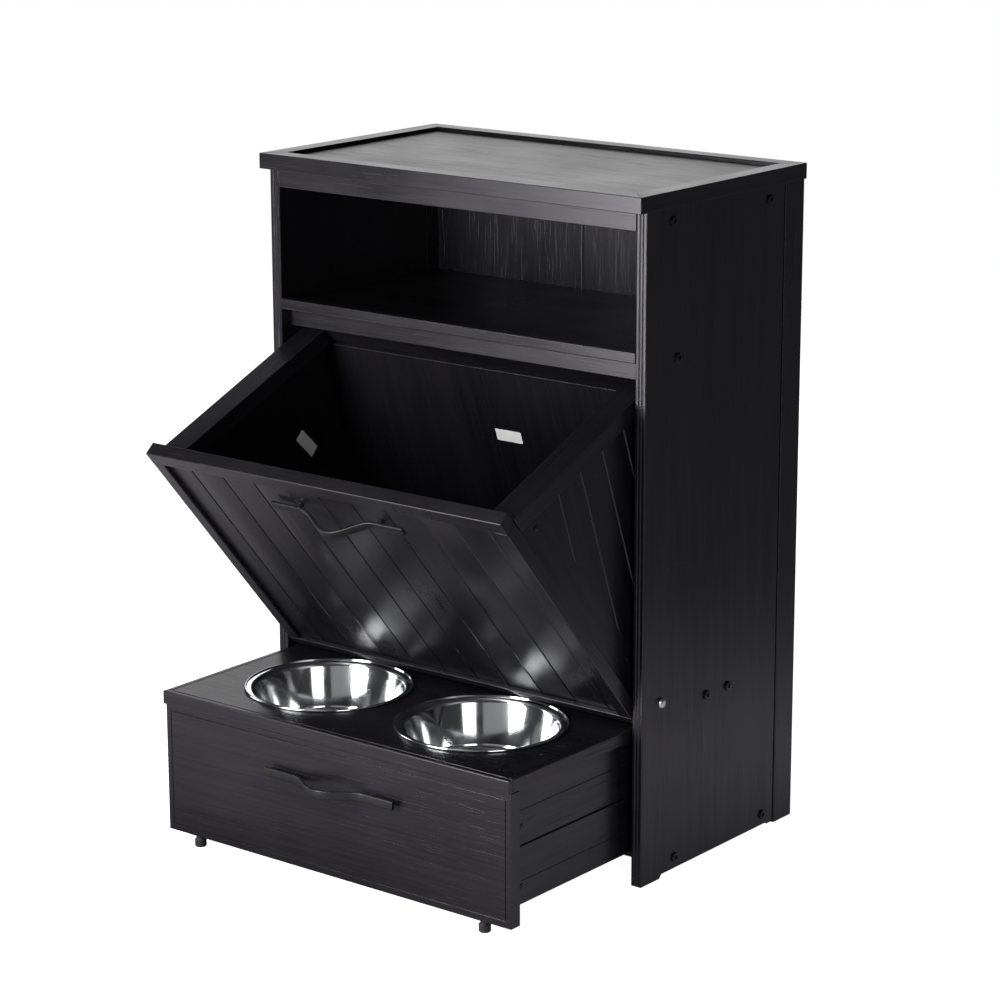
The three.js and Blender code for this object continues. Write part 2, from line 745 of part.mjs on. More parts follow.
function binFloor() {
  const reach = Math.min(wallInner, boardInner) - GAP;
  const thick = BIN_BACK / Math.cos(radians(BIN_WALL_SLOPE));
  const y0 = binPanelBack + GAP;
  const rear = (z) => rearFaceAt(z) - thick - GAP;
  const top = binFloorBottom + BIN_FLOOR;
  return alongX(
    [
      [y0, binFloorBottom],
      [rear(binFloorBottom), binFloorBottom],
      [rear(top), top],
      [y0, top],
    ],
    -reach,
    reach,
  );
}

function foodBin() {
  const bin = new THREE.Group();
  bin.add(part("bin_front_rail_top", binFrontRail(BIN_RAIL, binTop, -1), BLACK_WOOD));
  bin.add(part("bin_front_rail_bottom", binFrontRail(BIN_RAIL_LOW, binBottom, 1), BLACK_WOOD));
  bin.add(part("bin_front_boards", frontBeadBoard(), BLACK_WOOD));
  for (const [side, sign] of SIDES) {
    bin.add(part(`bin_front_stile_${side}`, binFrontStile(sign), BLACK_WOOD));
    bin.add(part(`bin_side_stile_${side}`, binSideStile(sign), BLACK_WOOD));
    bin.add(part(`bin_side_boards_${side}`, binSideBoards(sign), BLACK_WOOD));
    bin.add(part(`bin_rim_${side}`, binSideRim(sign), BLACK_WOOD));
  }
  bin.add(part("bin_rim_rear", binRearRim(), BLACK_WOOD));
  bin.add(part("bin_back_wall", binBackWall(), BLACK_WOOD));
  bin.add(part("bin_floor", binFloor(), BLACK_WOOD));
  const handle = waveHandle(BIN_HANDLE_OFFSET, front + BEAD_RECESS, binTop - BIN_HANDLE_DROP);
  bin.add(part("bin_handle", handle, HANDLE_BLACK));
  bin.position.set(0, -pivotY, -pivotZ);
  const hinge = new THREE.Group();
  hinge.add(bin);
  hinge.position.set(0, pivotY, pivotZ);
  hinge.rotation.x = tilt;
  return hinge;
}

// ---------------------------------------------------------------- pivots
// Bolt with a domed head outside the side panel; its shank ends inside the bin's stile.
function pivotBolt(sign) {
  const headFace = sideOuter + GAP;
  const shankEnd = wallInner + 1 + GAP;
  const profile = [
    [0, shankEnd],
    [PIVOT_RADIUS - 0.6, shankEnd],
    [PIVOT_RADIUS, shankEnd + 0.6],
    [PIVOT_RADIUS, headFace],
    [PIVOT_HEAD, headFace],
    [PIVOT_HEAD, headFace + PIVOT_HEAD_HEIGHT * 0.5],
    [PIVOT_HEAD * 0.8, headFace + PIVOT_HEAD_HEIGHT * 0.85],
    [PIVOT_HEAD * 0.45, headFace + PIVOT_HEAD_HEIGHT],
    [0, headFace + PIVOT_HEAD_HEIGHT],
  ];
  return revolvedX(profile, sign);
}

// Washer that keeps the bin's wall off the side panel.
function pivotWasher(sign) {
  const inner = wallOuter + GAP;
  const outer = sideInner - GAP;
  const bore = PIVOT_RADIUS + PIN_CLEAR;
  const profile = [
    [bore, inner],
    [PIVOT_HEAD + 1, inner],
    [PIVOT_HEAD + 1, outer],
    [bore, outer],
    [bore, inner],
  ];
  return revolvedX(profile, sign);
}

// Turns a (radius, distance from the middle) profile about the pivot line.
function revolvedX(profile, sign) {
  const points = profile.map(([r, x]) => new THREE.Vector2(r, x));
  const turned = new THREE.LatheGeometry(points, 24);
  return turned.rotateZ(sign > 0 ? -Math.PI / 2 : Math.PI / 2).translate(0, pivotY, pivotZ);
}

function pivots() {
  const group = new THREE.Group();
  for (const [side, sign] of SIDES) {
    group.add(part(`pivot_bolt_${side}`, pivotBolt(sign), ZINC));
    group.add(part(`pivot_washer_${side}`, pivotWasher(sign), GLIDE_BLACK));
  }
  return group;
}

// ---------------------------------------------------------------- bowl drawer
const PANEL_LINE = 8; // groove round the drawer's front, from its edge
const PANEL_LINE_WIDTH = 1.2;
const JOINT_GROOVE = 3; // groove between the two boards of a drawer side
const BOARD_LINE = 1.2; // fine line along the middle of each board

const drawerFrontBottom = drawerBottom - DRAWER_FRONT_DROP;
const drawerSideOuter = drawerHalf - DRAWER_SIDE_INSET;
const drawerSideInner = drawerSideOuter - DRAWER_SIDE;
const drawerRear = front + DRAWER_FRONT + GAP + DRAWER_LENGTH;
const boardFront = front - BOWL_BOARD_NOSE;
const boardClearHalf = drawerHalf - EDGE_TRIM;
const bowlRadius = BOWL_RIM / 2;
const bowlX = BOWL_PITCH / 2;
const bowlY = boardFront + BOWL_SET;
const bowlBodyRadius = bowlRadius - RIM_ROLL - RIM_FLANGE; // outside of the wall, under the flange
const bowlHoleRadius = bowlBodyRadius + BOWL_HOLE_CLEAR;

function drawerFrontPanel() {
  const panel = alongZ(
    [
      [-drawerHalf + 0.8, front],
      [drawerHalf - 0.8, front],
      [drawerHalf, front + 0.8],
      [drawerHalf, front + DRAWER_FRONT],
      [-drawerHalf, front + DRAWER_FRONT],
      [-drawerHalf, front + 0.8],
    ],
    drawerFrontBottom,
    drawerTop,
  );
  const ring = (inset) => [
    [-drawerHalf + inset, drawerFrontBottom + inset],
    [drawerHalf - inset, drawerFrontBottom + inset],
    [drawerHalf - inset, drawerTop - inset],
    [-drawerHalf + inset, drawerTop - inset],
  ];
  const outerRing = alongY(ring(PANEL_LINE), front - 1, front + 1.4);
  const innerRing = alongY(ring(PANEL_LINE + PANEL_LINE_WIDTH), front - 2, front + 3);
  return cut(panel, cut(outerRing, innerRing));
}

// Section of a drawer side: two boards' faces with a joint groove between them and a fine
// line along the middle of each.
function drawerSide(sign) {
  const height = DRAWER_HEIGHT;
  const joint = drawerBottom + height / 2;
  const lines = [
    [drawerBottom + height / 5, BOARD_LINE, BOARD_LINE / 2],
    [joint, JOINT_GROOVE, BEAD_DEPTH],
    [drawerTop - height / 5, BOARD_LINE, BOARD_LINE / 2],
  ];
  const points = [
    [drawerSideInner, drawerBottom],
    [drawerSideOuter, drawerBottom],
  ];
  for (const [z, wide, deep] of lines)
    points.push([drawerSideOuter, z - wide / 2], [drawerSideOuter - deep, z], [drawerSideOuter, z + wide / 2]);
  points.push([drawerSideOuter, drawerTop], [drawerSideInner, drawerTop]);
  const section = sign > 0 ? points : mirrored(points);
  return alongY(section, front + DRAWER_FRONT + GAP, drawerRear);
}

function drawerBack() {
  const reach = drawerSideInner - GAP;
  return alongX(easedRect(drawerRear - DRAWER_SIDE, drawerRear, drawerBottom, drawerTop), -reach, reach);
}

function bowlBoard() {
  const y0 = boardFront + EDGE_TRIM + GAP;
  const slab = alongX(
    [
      [y0, bowlBoardBottom],
      [drawerRear, bowlBoardBottom],
      [drawerRear, bowlBoardTop],
      [y0, bowlBoardTop],
    ],
    -boardClearHalf + GAP,
    boardClearHalf - GAP,
  );
  const hole = (x) =>
    new THREE.CylinderGeometry(bowlHoleRadius, bowlHoleRadius, BOWL_BOARD + 10, 56)
      .rotateX(Math.PI / 2)
      .translate(x, bowlY, (bowlBoardBottom + bowlBoardTop) / 2);
  return cut(slab, hole(-bowlX), hole(bowlX));
}

function bowlBoardTrims() {
  const section = (u0, u1) => easedRect(u0, u1, bowlBoardBottom, bowlBoardTop, 1);
  const sideStart = boardFront + EDGE_TRIM + GAP;
  const right = section(boardClearHalf, drawerHalf);
  return [
    ["bowl_board_trim_front", alongX(section(boardFront, boardFront + EDGE_TRIM), -drawerHalf, drawerHalf)],
    ["bowl_board_trim_left", alongY(mirrored(right), sideStart, drawerRear)],
    ["bowl_board_trim_right", alongY(right, sideStart, drawerRear)],
  ];
}

// Spun bowl: rolled rim, flat flange on the board, tapered wall, round corner, flat floor
// with a shallow raised middle. The profile runs from the inside centre out, over the
// rolled rim and back under to the outside centre.
function bowl() {
  const seat = bowlBoardTop + GAP;
  const floorTop = seat + BOWL_SHEET - BOWL_DEPTH;
  const wallIn = bowlBodyRadius - BOWL_SHEET;
  const footIn = wallIn - BOWL_TAPER;
  const corner = 14;
  const points = [[0, floorTop + 1.2]];
  points.push([footIn * 0.55, floorTop + 1.2], [footIn * 0.62, floorTop]);
  arc(points, footIn - corner, floorTop + corner, corner, -90, -14, 5);
  points.push([wallIn - 3, seat - 4]);
  points.push([wallIn, seat + BOWL_SHEET]);
  points.push([bowlRadius - RIM_ROLL, seat + BOWL_SHEET + 0.6]);
  arc(points, bowlRadius - RIM_ROLL, seat + RIM_ROLL, RIM_ROLL, 60, -90, 5);
  points.push([bowlBodyRadius, seat]);
  points.push([bowlBodyRadius - 2.6, seat - 4.6]);
  arc(points, footIn - corner, floorTop + corner, corner + BOWL_SHEET, -14, -90, 5);
  points.push([footIn * 0.62, floorTop - BOWL_SHEET], [footIn * 0.55, floorTop], [0, floorTop]);
  return new THREE.LatheGeometry(points.map(([r, z]) => new THREE.Vector2(r, z)).reverse(), 56);
}

// Adds points on an arc about (r0, z0), from one angle to another in degrees.
function arc(points, r0, z0, radius, from, to, steps) {
  for (let i = 0; i <= steps; i++) {
    const angle = radians(from + ((to - from) * i) / steps);
    points.push([r0 + radius * Math.cos(angle), z0 + radius * Math.sin(angle)]);
  }
}

// Round glide under the drawer's front.
function glide(x) {
  const top = drawerFrontBottom - GAP;
  const profile = [
    [0, 0],
    [GLIDE_RADIUS - 1.5, 0],
    [GLIDE_RADIUS, 1.5],
    [GLIDE_RADIUS, top - 6],
    [GLIDE_RADIUS - 2, top - 4],
    [GLIDE_RADIUS - 2, top],
    [0, top],
  ];
  const turned = new THREE.LatheGeometry(profile.map(([r, z]) => new THREE.Vector2(r, z)), 24);
  return turned.rotateX(Math.PI / 2).translate(x, front + DRAWER_FRONT / 2, 0);
}

function bowlDrawer() {
  const drawer = new THREE.Group();
  drawer.add(part("drawer_front", drawerFrontPanel(), BLACK_WOOD));
  drawer.add(part("drawer_back", drawerBack(), BLACK_WOOD));
  drawer.add(part("bowl_board", bowlBoard(), BLACK_WOOD));
  for (const [name, geometry] of bowlBoardTrims()) drawer.add(part(name, geometry, BLACK_WOOD));
  for (const [side, sign] of SIDES) {
    drawer.add(part(`drawer_side_${side}`, drawerSide(sign), BLACK_WOOD));
    drawer.add(part(`glide_${side}`, glide(sign * (drawerHalf - GLIDE_INSET)), GLIDE_BLACK));
    const dish = part(`bowl_${side}`, bowl().rotateX(Math.PI / 2), STEEL);
    dish.position.set(sign * bowlX, bowlY, 0);
    drawer.add(dish);
  }
  const handle = waveHandle(DRAWER_HANDLE_OFFSET, front, drawerTop - DRAWER_HANDLE_DROP);
  drawer.add(part("drawer_handle", handle, HANDLE_BLACK));
  drawer.position.y = -DRAWER_TRAVEL;
  return drawer;
}

// ---------------------------------------------------------------- assembly
const station = new THREE.Group();
station.add(cabinet(), foodBin(), pivots(), bowlDrawer());

// The origin is the middle of the footprint on the floor, bin and drawer open.
const bounds = new THREE.Box3().setFromObject(station, true);
station.position.y = -(bounds.min.y + bounds.max.y) / 2;

export default station;
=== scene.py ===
"""Looks of the pet feeding station: stained boards, spun bowls, wave handles and fasteners.

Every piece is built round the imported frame, in metres. The boards are bevelled twins of the
frame's own solids; bowls, handles, bolts and screws are modelled here.
"""

import json
import logging
import math
import random
from collections.abc import Iterator
from dataclasses import dataclass
from enum import Enum

import bmesh
import bpy
from mathutils import Matrix, Vector


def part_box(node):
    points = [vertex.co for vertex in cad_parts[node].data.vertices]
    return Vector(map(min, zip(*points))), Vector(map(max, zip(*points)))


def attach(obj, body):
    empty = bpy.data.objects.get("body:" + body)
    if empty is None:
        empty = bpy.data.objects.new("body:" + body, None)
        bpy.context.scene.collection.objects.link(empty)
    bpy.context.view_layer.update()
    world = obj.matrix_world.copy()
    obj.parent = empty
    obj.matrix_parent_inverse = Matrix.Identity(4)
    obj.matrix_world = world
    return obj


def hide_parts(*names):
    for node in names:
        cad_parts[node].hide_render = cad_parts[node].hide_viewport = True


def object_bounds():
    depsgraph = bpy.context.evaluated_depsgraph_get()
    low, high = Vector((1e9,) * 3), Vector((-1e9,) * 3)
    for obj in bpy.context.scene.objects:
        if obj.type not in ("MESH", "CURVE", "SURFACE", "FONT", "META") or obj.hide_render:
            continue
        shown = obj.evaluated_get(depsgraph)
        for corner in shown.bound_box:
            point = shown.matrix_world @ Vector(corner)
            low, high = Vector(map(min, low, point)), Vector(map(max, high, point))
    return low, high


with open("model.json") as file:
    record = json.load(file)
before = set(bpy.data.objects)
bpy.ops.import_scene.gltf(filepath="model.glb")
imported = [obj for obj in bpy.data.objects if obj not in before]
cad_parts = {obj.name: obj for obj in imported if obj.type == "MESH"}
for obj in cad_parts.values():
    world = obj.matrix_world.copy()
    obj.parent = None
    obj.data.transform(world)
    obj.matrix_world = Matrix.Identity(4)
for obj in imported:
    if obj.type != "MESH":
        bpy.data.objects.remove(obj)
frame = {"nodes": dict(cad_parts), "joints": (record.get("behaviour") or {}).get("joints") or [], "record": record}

log = logging.getLogger("feeding_station")

Colour = tuple[float, float, float, float]
Spot = tuple[float, float, float]
Socket = bpy.types.NodeSocket
Value = bpy.types.NodeSocket | float | tuple[float, ...]

MM = 0.001
WELD = 1e-6
WHITE: Colour = (1, 1, 1, 1)
CAD_BOX = [list(corner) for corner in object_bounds()]
JOINTS = {joint["name"]: joint for joint in frame["joints"]}
BODY_OF_NODE = {
    node: body
    for body, nodes in frame["record"]["behaviour"]["bodies"].items()
    for node in nodes
}
TILT = math.radians(-JOINTS["bin_tilt"]["range_deg"][0])
PIVOT = Vector(JOINTS["bin_tilt"]["pos_m"])


def tilted(direction: Vector) -> Vector:
    """A direction of the closed bin, as it lies with the bin open."""
    return Matrix.Rotation(TILT, 3, "X") @ direction


def opened(point: Vector) -> Vector:
    """A point of the closed bin, in metres, as it lies with the bin open."""
    return PIVOT + tilted(point - PIVOT)


def leaning(degrees: float) -> Vector:
    """A unit vector in the plane of the cabinet's side, leaning back from upright."""
    angle = math.radians(degrees)
    return Vector((0, math.sin(angle), math.cos(angle)))


# ------------------------------------------------------------------ small helpers
def add_object(name: str, mesh: bpy.types.Mesh) -> bpy.types.Object:
    """Links a new object that holds a mesh.

    Args:
        name: name of the object.
        mesh: its mesh, with its place in its vertices.

    Returns:
        The object, at the origin.
    """
    made = bpy.data.objects.new(name, mesh)
    bpy.context.scene.collection.objects.link(made)
    return made


def mesh_of(name: str, verts: list[Vector], faces: list[tuple[int, ...]]) -> bpy.types.Mesh:
    """A mesh with outward faces.

    Args:
        name: name of the mesh.
        verts: its vertices.
        faces: vertex numbers of each face.

    Returns:
        The mesh, doubles merged and normals pointing out.
    """
    mesh = bpy.data.meshes.new(name)
    mesh.from_pydata([tuple(v) for v in verts], [], faces)
    shell = bmesh.new()
    shell.from_mesh(mesh)
    bmesh.ops.remove_doubles(shell, verts=shell.verts, dist=WELD)
    bmesh.ops.recalc_face_normals(shell, faces=shell.faces)
    shell.to_mesh(mesh)
    shell.free()
    return mesh


def shade_smooth(mesh: bpy.types.Mesh, degrees: float) -> None:
    """Shades a mesh smooth, with edges over the given angle kept sharp."""
    mesh.polygons.foreach_set("use_smooth", [True] * len(mesh.polygons))
    mesh.set_sharp_from_angle(angle=math.radians(degrees))


def revolve(name: str, profile: list[tuple[float, float]], segments: int) -> bpy.types.Mesh:
    """Turns a profile about the Z axis.

    Args:
        name: name of the mesh.
        profile: (radius, height) points; the first and last lie on the axis.
        segments: steps round the axis.

    Returns:
        A closed mesh.
    """
    turns = [2 * math.pi * i / segments for i in range(segments)]
    verts = [Vector((r * math.cos(a), r * math.sin(a), z)) for r, z in profile for a in turns]
    faces = []
    for ring in range(len(profile) - 1):
        for i in range(segments):
            j = (i + 1) % segments
            low, high = ring * segments, (ring + 1) * segments
            corners = [low + i, low + j, high + j, high + i]
            if profile[ring][0] == 0:
                corners = [low + i, high + j, high + i]
            elif profile[ring + 1][0] == 0:
                corners = [low + i, low + j, high + i]
            faces.append(tuple(corners))
    return mesh_of(name, verts, faces)


def arc(
    centre: tuple[float, float], radius: float, start: float, end: float, steps: int
) -> Iterator[tuple[float, float]]:
    """Steps along an arc in the plane.

    Args:
        centre: its centre.
        radius: its radius.
        start: angle of the first point, in degrees.
        end: angle of the last point, in degrees.
        steps: number of steps between them.

    Yields:
        The points, in order.
    """
    for i in range(steps + 1):
        angle = math.radians(start + (end - start) * i / steps)
        yield centre[0] + radius * math.cos(angle), centre[1] + radius * math.sin(angle)


# ------------------------------------------------------------------ node building
class Graph:
    """Adds and joins nodes in a tree, laid out in columns."""

    def __init__(self, tree: bpy.types.NodeTree) -> None:
        """Starts on a tree.

        Args:
            tree: the shader or geometry tree to fill.
        """
        self.tree = tree
        self.count = 0

    def node(
        self, kind: str, inputs: dict | None = None, **settings: str | bool | bpy.types.NodeTree
    ) -> bpy.types.Node:
        """Adds a node.

        Args:
            kind: the node's type name.
            inputs: socket name or number to a value or to another node's output.
            settings: properties of the node.

        Returns:
            The new node.
        """
        made = self.tree.nodes.new(kind)
        made.location = (200 * (self.count % 12), -260 * (self.count // 12))
        self.count += 1
        for key, value in settings.items():
            setattr(made, key, value)
        for key, value in (inputs or {}).items():
            self.feed(made.inputs[key], value)
        return made

    def feed(self, socket: Socket, value: Value) -> None:
        """Links an output to a socket, or sets the socket's own value.

        Args:
            socket: the input socket.
            value: another node's output, or a plain value.
        """
        if isinstance(value, bpy.types.NodeSocket):
            self.tree.links.new(value, socket)
        else:
            socket.default_value = value

    def math(
        self, operation: str, first: Value, second: Value = 0.0, clamp: bool = False
    ) -> Socket:
        """The result of a Math node."""
        inputs = {0: first, 1: second}
        return self.node("ShaderNodeMath", inputs, operation=operation, use_clamp=clamp).outputs[0]

    def vector_math(self, operation: str, first: Value, second: Value) -> Socket:
        """The vector result of a Vector Math node."""
        made = self.node("ShaderNodeVectorMath", {0: first, 1: second}, operation=operation)
        return made.outputs[0]

    def length(self, vector: Value) -> Socket:
        """The length of a vector."""
        made = self.node("ShaderNodeVectorMath", {0: vector}, operation="LENGTH")
        return made.outputs["Value"]

    def combine(self, **parts: Value) -> Socket:
        """A vector made from parts named x, y and z; a part that is left out is 0."""
        inputs = {axis.upper(): value for axis, value in parts.items()}
        return self.node("ShaderNodeCombineXYZ", inputs).outputs[0]

    def spread(
        self,
        value: Value,
        low: float,
        high: float,
        to_low: Value = 0.0,
        to_high: Value = 1.0,
    ) -> Socket:
        """A value carried from one range to another, held at its ends."""
        inputs = {0: value, 1: low, 2: high, 3: to_low, 4: to_high}
        return self.node("ShaderNodeMapRange", inputs, clamp=True).outputs[0]

    def noise(
        self, vector: Value, scale: Value, detail: float = 3.0, rough: float = 0.5
    ) -> Socket:
        """The grey value of a noise texture."""
        inputs = {"Vector": vector, "Scale": scale, "Detail": detail, "Roughness": rough}
        return self.node("ShaderNodeTexNoise", inputs).outputs["Fac"]

    def mix(self, factor: Value, first: Value, second: Value) -> Socket:
        """A mix of two colours.

        Args:
            factor: share of the second colour.
            first: the first colour.
            second: the second colour.

        Returns:
            The mixed colour.
        """
        made = self.node("ShaderNodeMix", data_type="RGBA", clamp_factor=True)
        self.feed(made.inputs["Factor"], factor)
        self.feed(made.inputs["A"], first)
        self.feed(made.inputs["B"], second)
        return made.outputs["Result"]


def shader_group(
    name: str, inputs: dict[str, tuple[str, float | None]], outputs: dict[str, str]
) -> tuple[bpy.types.NodeTree, Graph, bpy.types.Node, bpy.types.Node]:
    """Starts a shader node group.

    Args:
        name: name of the group.
        inputs: socket name to (type, value or None).
        outputs: socket name to type.

    Returns:
        The tree, its Graph, the input node and the output node.
    """
    tree = bpy.data.node_groups.new(name, "ShaderNodeTree")
    for label, (kind, value) in inputs.items():
        socket = tree.interface.new_socket(name=label, in_out="INPUT", socket_type=kind)
        if value is not None:
            socket.default_value = value
    for label, kind in outputs.items():
        tree.interface.new_socket(name=label, in_out="OUTPUT", socket_type=kind)
    graph = Graph(tree)
    return tree, graph, graph.node("NodeGroupInput"), graph.node("NodeGroupOutput")


class ShaderGroups:
    """The effects that more than one material shares, each built once."""

    sway_scale = 5.0
    sway_reach = 0.008
    hair_scale = 900.0
    rub_and_highlight_scale = 60.0
    dust_scale = 900.0
    smear_scale = 22.0

    def __init__(self) -> None:
        """Builds every group."""
        self.grain = self.make_grain()
        self.rub_and_highlight = self.make_rub_and_highlight()
        self.handling = self.make_handling()
        self.spun = self.make_spun()

    def make_grain(self) -> bpy.types.NodeTree:
        """Fine straight grain that runs along the X axis of its vector.

        Returns:
            A group that puts out the figure's tone, the pores and a height for bump.
        """
        tree, g, source, out = shader_group(
            "wood_grain",
            {
                "Vector": ("NodeSocketVector", None),
                "Figure": ("NodeSocketFloat", 16.0),
                "Fibres": ("NodeSocketFloat", 240.0),
                "Pores": ("NodeSocketFloat", 520.0),
            },
            {"Tone": "NodeSocketFloat", "Pore": "NodeSocketFloat", "Height": "NodeSocketFloat"},
        )
        vector = source.outputs["Vector"]
        slow = self.drawn_out(g, vector, 0.5, self.sway_scale, 1.0, 0.5)
        sway = g.combine(y=g.math("MULTIPLY", slow, self.sway_reach))
        swayed = g.vector_math("ADD", vector, sway)
        figure = self.drawn_out(g, swayed, 0.08, source.outputs["Figure"], 3.0, 0.5)
        fibres = self.drawn_out(g, swayed, 0.022, source.outputs["Fibres"], 4.0, 0.62)
        hairs = self.drawn_out(g, swayed, 0.012, self.hair_scale, 2.0, 0.5)
        specks = self.drawn_out(g, vector, 0.03, source.outputs["Pores"], 2.0, 0.55)
        pore = g.spread(specks, 0.6, 0.72)
        tone = self.blend(g, (figure, 0.3), (fibres, 0.5), (hairs, 0.2))
        height = self.blend(g, (fibres, 0.6), (hairs, 0.3), (pore, -0.45))
        g.feed(out.inputs["Tone"], tone)
        g.feed(out.inputs["Pore"], pore)
        g.feed(out.inputs["Height"], height)
        return tree

    def drawn_out(
        self, g: Graph, vector: Socket, squeeze: float, scale: Value, detail: float, rough: float
    ) -> Socket:
        """Noise that is drawn out along X: less squeeze gives longer streaks."""
        long_way = g.vector_math("MULTIPLY", vector, (squeeze, 1.0, 1.0))
        return g.noise(long_way, scale, detail, rough)

    def blend(self, g: Graph, *shares: tuple[Socket, float]) -> Socket:
        """Adds values up by their shares.

        Args:
            g: the group's graph.
            shares: (value, share) of each.

        Returns:
            The sum.
        """
        parts = [g.math("MULTIPLY", value, share) for value, share in shares]
        total = parts[0]
        for part in parts[1:]:
            total = g.math("ADD", total, part)
        return total

    def make_rub_and_highlight(self) -> bpy.types.NodeTree:
        """Uneven rubbing where an edge mask is set, with a painted highlight on the edges.

        Returns:
            A group that puts out the mask for rubbing and painted edge highlight.
        """
        tree, g, source, out = shader_group(
            "edge_rub_and_highlight",
            {
                "Vector": ("NodeSocketVector", None),
                "Edge": ("NodeSocketFloat", 0.0),
                "Amount": ("NodeSocketFloat", 0.5),
            },
            {"Mask": "NodeSocketFloat"},
        )
        patches = g.noise(source.outputs["Vector"], self.rub_and_highlight_scale, 4.0, 0.7)
        broken = g.spread(patches, 0.34, 0.62, 0.25, 1.0)
        mask = g.math("MULTIPLY", source.outputs["Edge"], broken)
        g.feed(out.inputs["Mask"], g.math("MULTIPLY", mask, source.outputs["Amount"], clamp=True))
        return tree

    def make_handling(self) -> bpy.types.NodeTree:
        """Slow and fine changes in sheen, as cleaning and handling leave them.

        Returns:
            A group that puts out a roughness and a faint film of dust.
        """
        tree, g, source, out = shader_group(
            "handled_sheen",
            {
                "Vector": ("NodeSocketVector", None),
                "Low": ("NodeSocketFloat", 0.3),
                "High": ("NodeSocketFloat", 0.45),
                "Scale": ("NodeSocketFloat", 7.0),
            },
            {"Roughness": "NodeSocketFloat", "Film": "NodeSocketFloat"},
        )
        slow = g.noise(source.outputs["Vector"], source.outputs["Scale"], 5.0)
        fine = g.noise(source.outputs["Vector"], self.dust_scale, 1.0)
        both = self.blend(g, (slow, 0.8), (fine, 0.2))
        rough = g.spread(both, 0.34, 0.66, source.outputs["Low"], source.outputs["High"])
        g.feed(out.inputs["Roughness"], rough)
        g.feed(out.inputs["Film"], g.spread(slow, 0.46, 0.8))
        return tree

    def make_spun(self) -> bpy.types.NodeTree:
        """Faint rings left by spinning and polishing, about the Z axis of its vector.

        Returns:
            A group that puts out a height and a roughness.
        """
        tree, g, source, out = shader_group(
            "spun_rings",
            {"Vector": ("NodeSocketVector", None), "Rings": ("NodeSocketFloat", 900.0)},
            {"Height": "NodeSocketFloat", "Roughness": "NodeSocketFloat"},
        )
        radius = g.length(g.vector_math("MULTIPLY", source.outputs["Vector"], (1.0, 1.0, 0.0)))
        rise = g.node("ShaderNodeSeparateXYZ", {0: source.outputs["Vector"]}).outputs["Z"]
        line = g.combine(x=g.math("ADD", radius, g.math("MULTIPLY", rise, 0.8)))
        rings = g.noise(line, source.outputs["Rings"], 3.0)
        smears = g.noise(source.outputs["Vector"], self.smear_scale, 3.0)
        smeared = g.math("MULTIPLY", rings, smears)
        g.feed(out.inputs["Height"], rings)
        g.feed(out.inputs["Roughness"], g.spread(smeared, 0.12, 0.42, 0.05, 0.17))
        return tree


# ------------------------------------------------------------------ finishes
@dataclass(frozen=True)
class StainedWood:
    """Black stain over open-grained boards, satin lacquered."""

    name: str
    dark: Colour
    light: Colour
    # Paler colour for the dust film, the rubbed edges and the painted edge highlight.
    pale_rub_dust_highlight: Colour
    low_roughness: float
    high_roughness: float
    relief: float = 0.35 * MM
    figure: float = 16.0
    fibres: float = 240.0
    pores: float = 520.0
    pore_stain: float = 0.6
    pore_roughness: float = 0.12
    dust: float = 0.06
    rub_and_highlight: float = 0.5
    lacquer: float = 0.12
    gloss: float = 0.44
    sheen_tint: Colour = (0.95, 0.92, 1.0, 1)

    def make(self, groups: ShaderGroups) -> bpy.types.Material:
        """Builds the material.

        Args:
            groups: the shared shader groups.

        Returns:
            A material that reads each board's own grain and edge attributes.
        """
        material, g, shader = new_material(self.name)
        place = g.node("ShaderNodeAttribute", attribute_name="grain").outputs["Vector"]
        edge = g.node("ShaderNodeAttribute", attribute_name="edge").outputs["Fac"]
        figure = {"Figure": self.figure, "Fibres": self.fibres, "Pores": self.pores}
        grain = group_node(g, groups.grain, {"Vector": place, **figure}).outputs
        span = {"Low": self.low_roughness, "High": self.high_roughness}
        sheen = group_node(g, groups.handling, {"Vector": place, **span}).outputs
        rub_and_highlight_node = group_node(g, groups.rub_and_highlight, {"Vector": place, "Edge": edge, "Amount": self.rub_and_highlight})
        colour = g.mix(g.spread(grain["Tone"], 0.36, 0.64), self.dark, self.light)
        colour = g.mix(g.math("MULTIPLY", grain["Pore"], self.pore_stain), colour, self.dark)
        colour = g.mix(g.math("MULTIPLY", sheen["Film"], self.dust), colour, self.pale_rub_dust_highlight)
        # Paler on the eased edges, in broken patches: rubbed wear and a painted edge highlight.
        colour = g.mix(rub_and_highlight_node.outputs["Mask"], colour, self.pale_rub_dust_highlight)
        pitted = g.math("MULTIPLY", grain["Pore"], self.pore_roughness)
        relief = {"Strength": 0.55, "Distance": self.relief, "Height": grain["Height"]}
        g.feed(shader.inputs["Base Color"], colour)
        g.feed(shader.inputs["Roughness"], g.math("ADD", sheen["Roughness"], pitted))
        g.feed(shader.inputs["Normal"], g.node("ShaderNodeBump", relief).outputs["Normal"])
        g.feed(shader.inputs["Coat Weight"], g.spread(grain["Tone"], 0.4, 0.6, 0.0, self.lacquer))
        shader.inputs["Coat Roughness"].default_value = self.high_roughness
        shader.inputs["Specular IOR Level"].default_value = self.gloss
        shader.inputs["Specular Tint"].default_value = self.sheen_tint
        return material


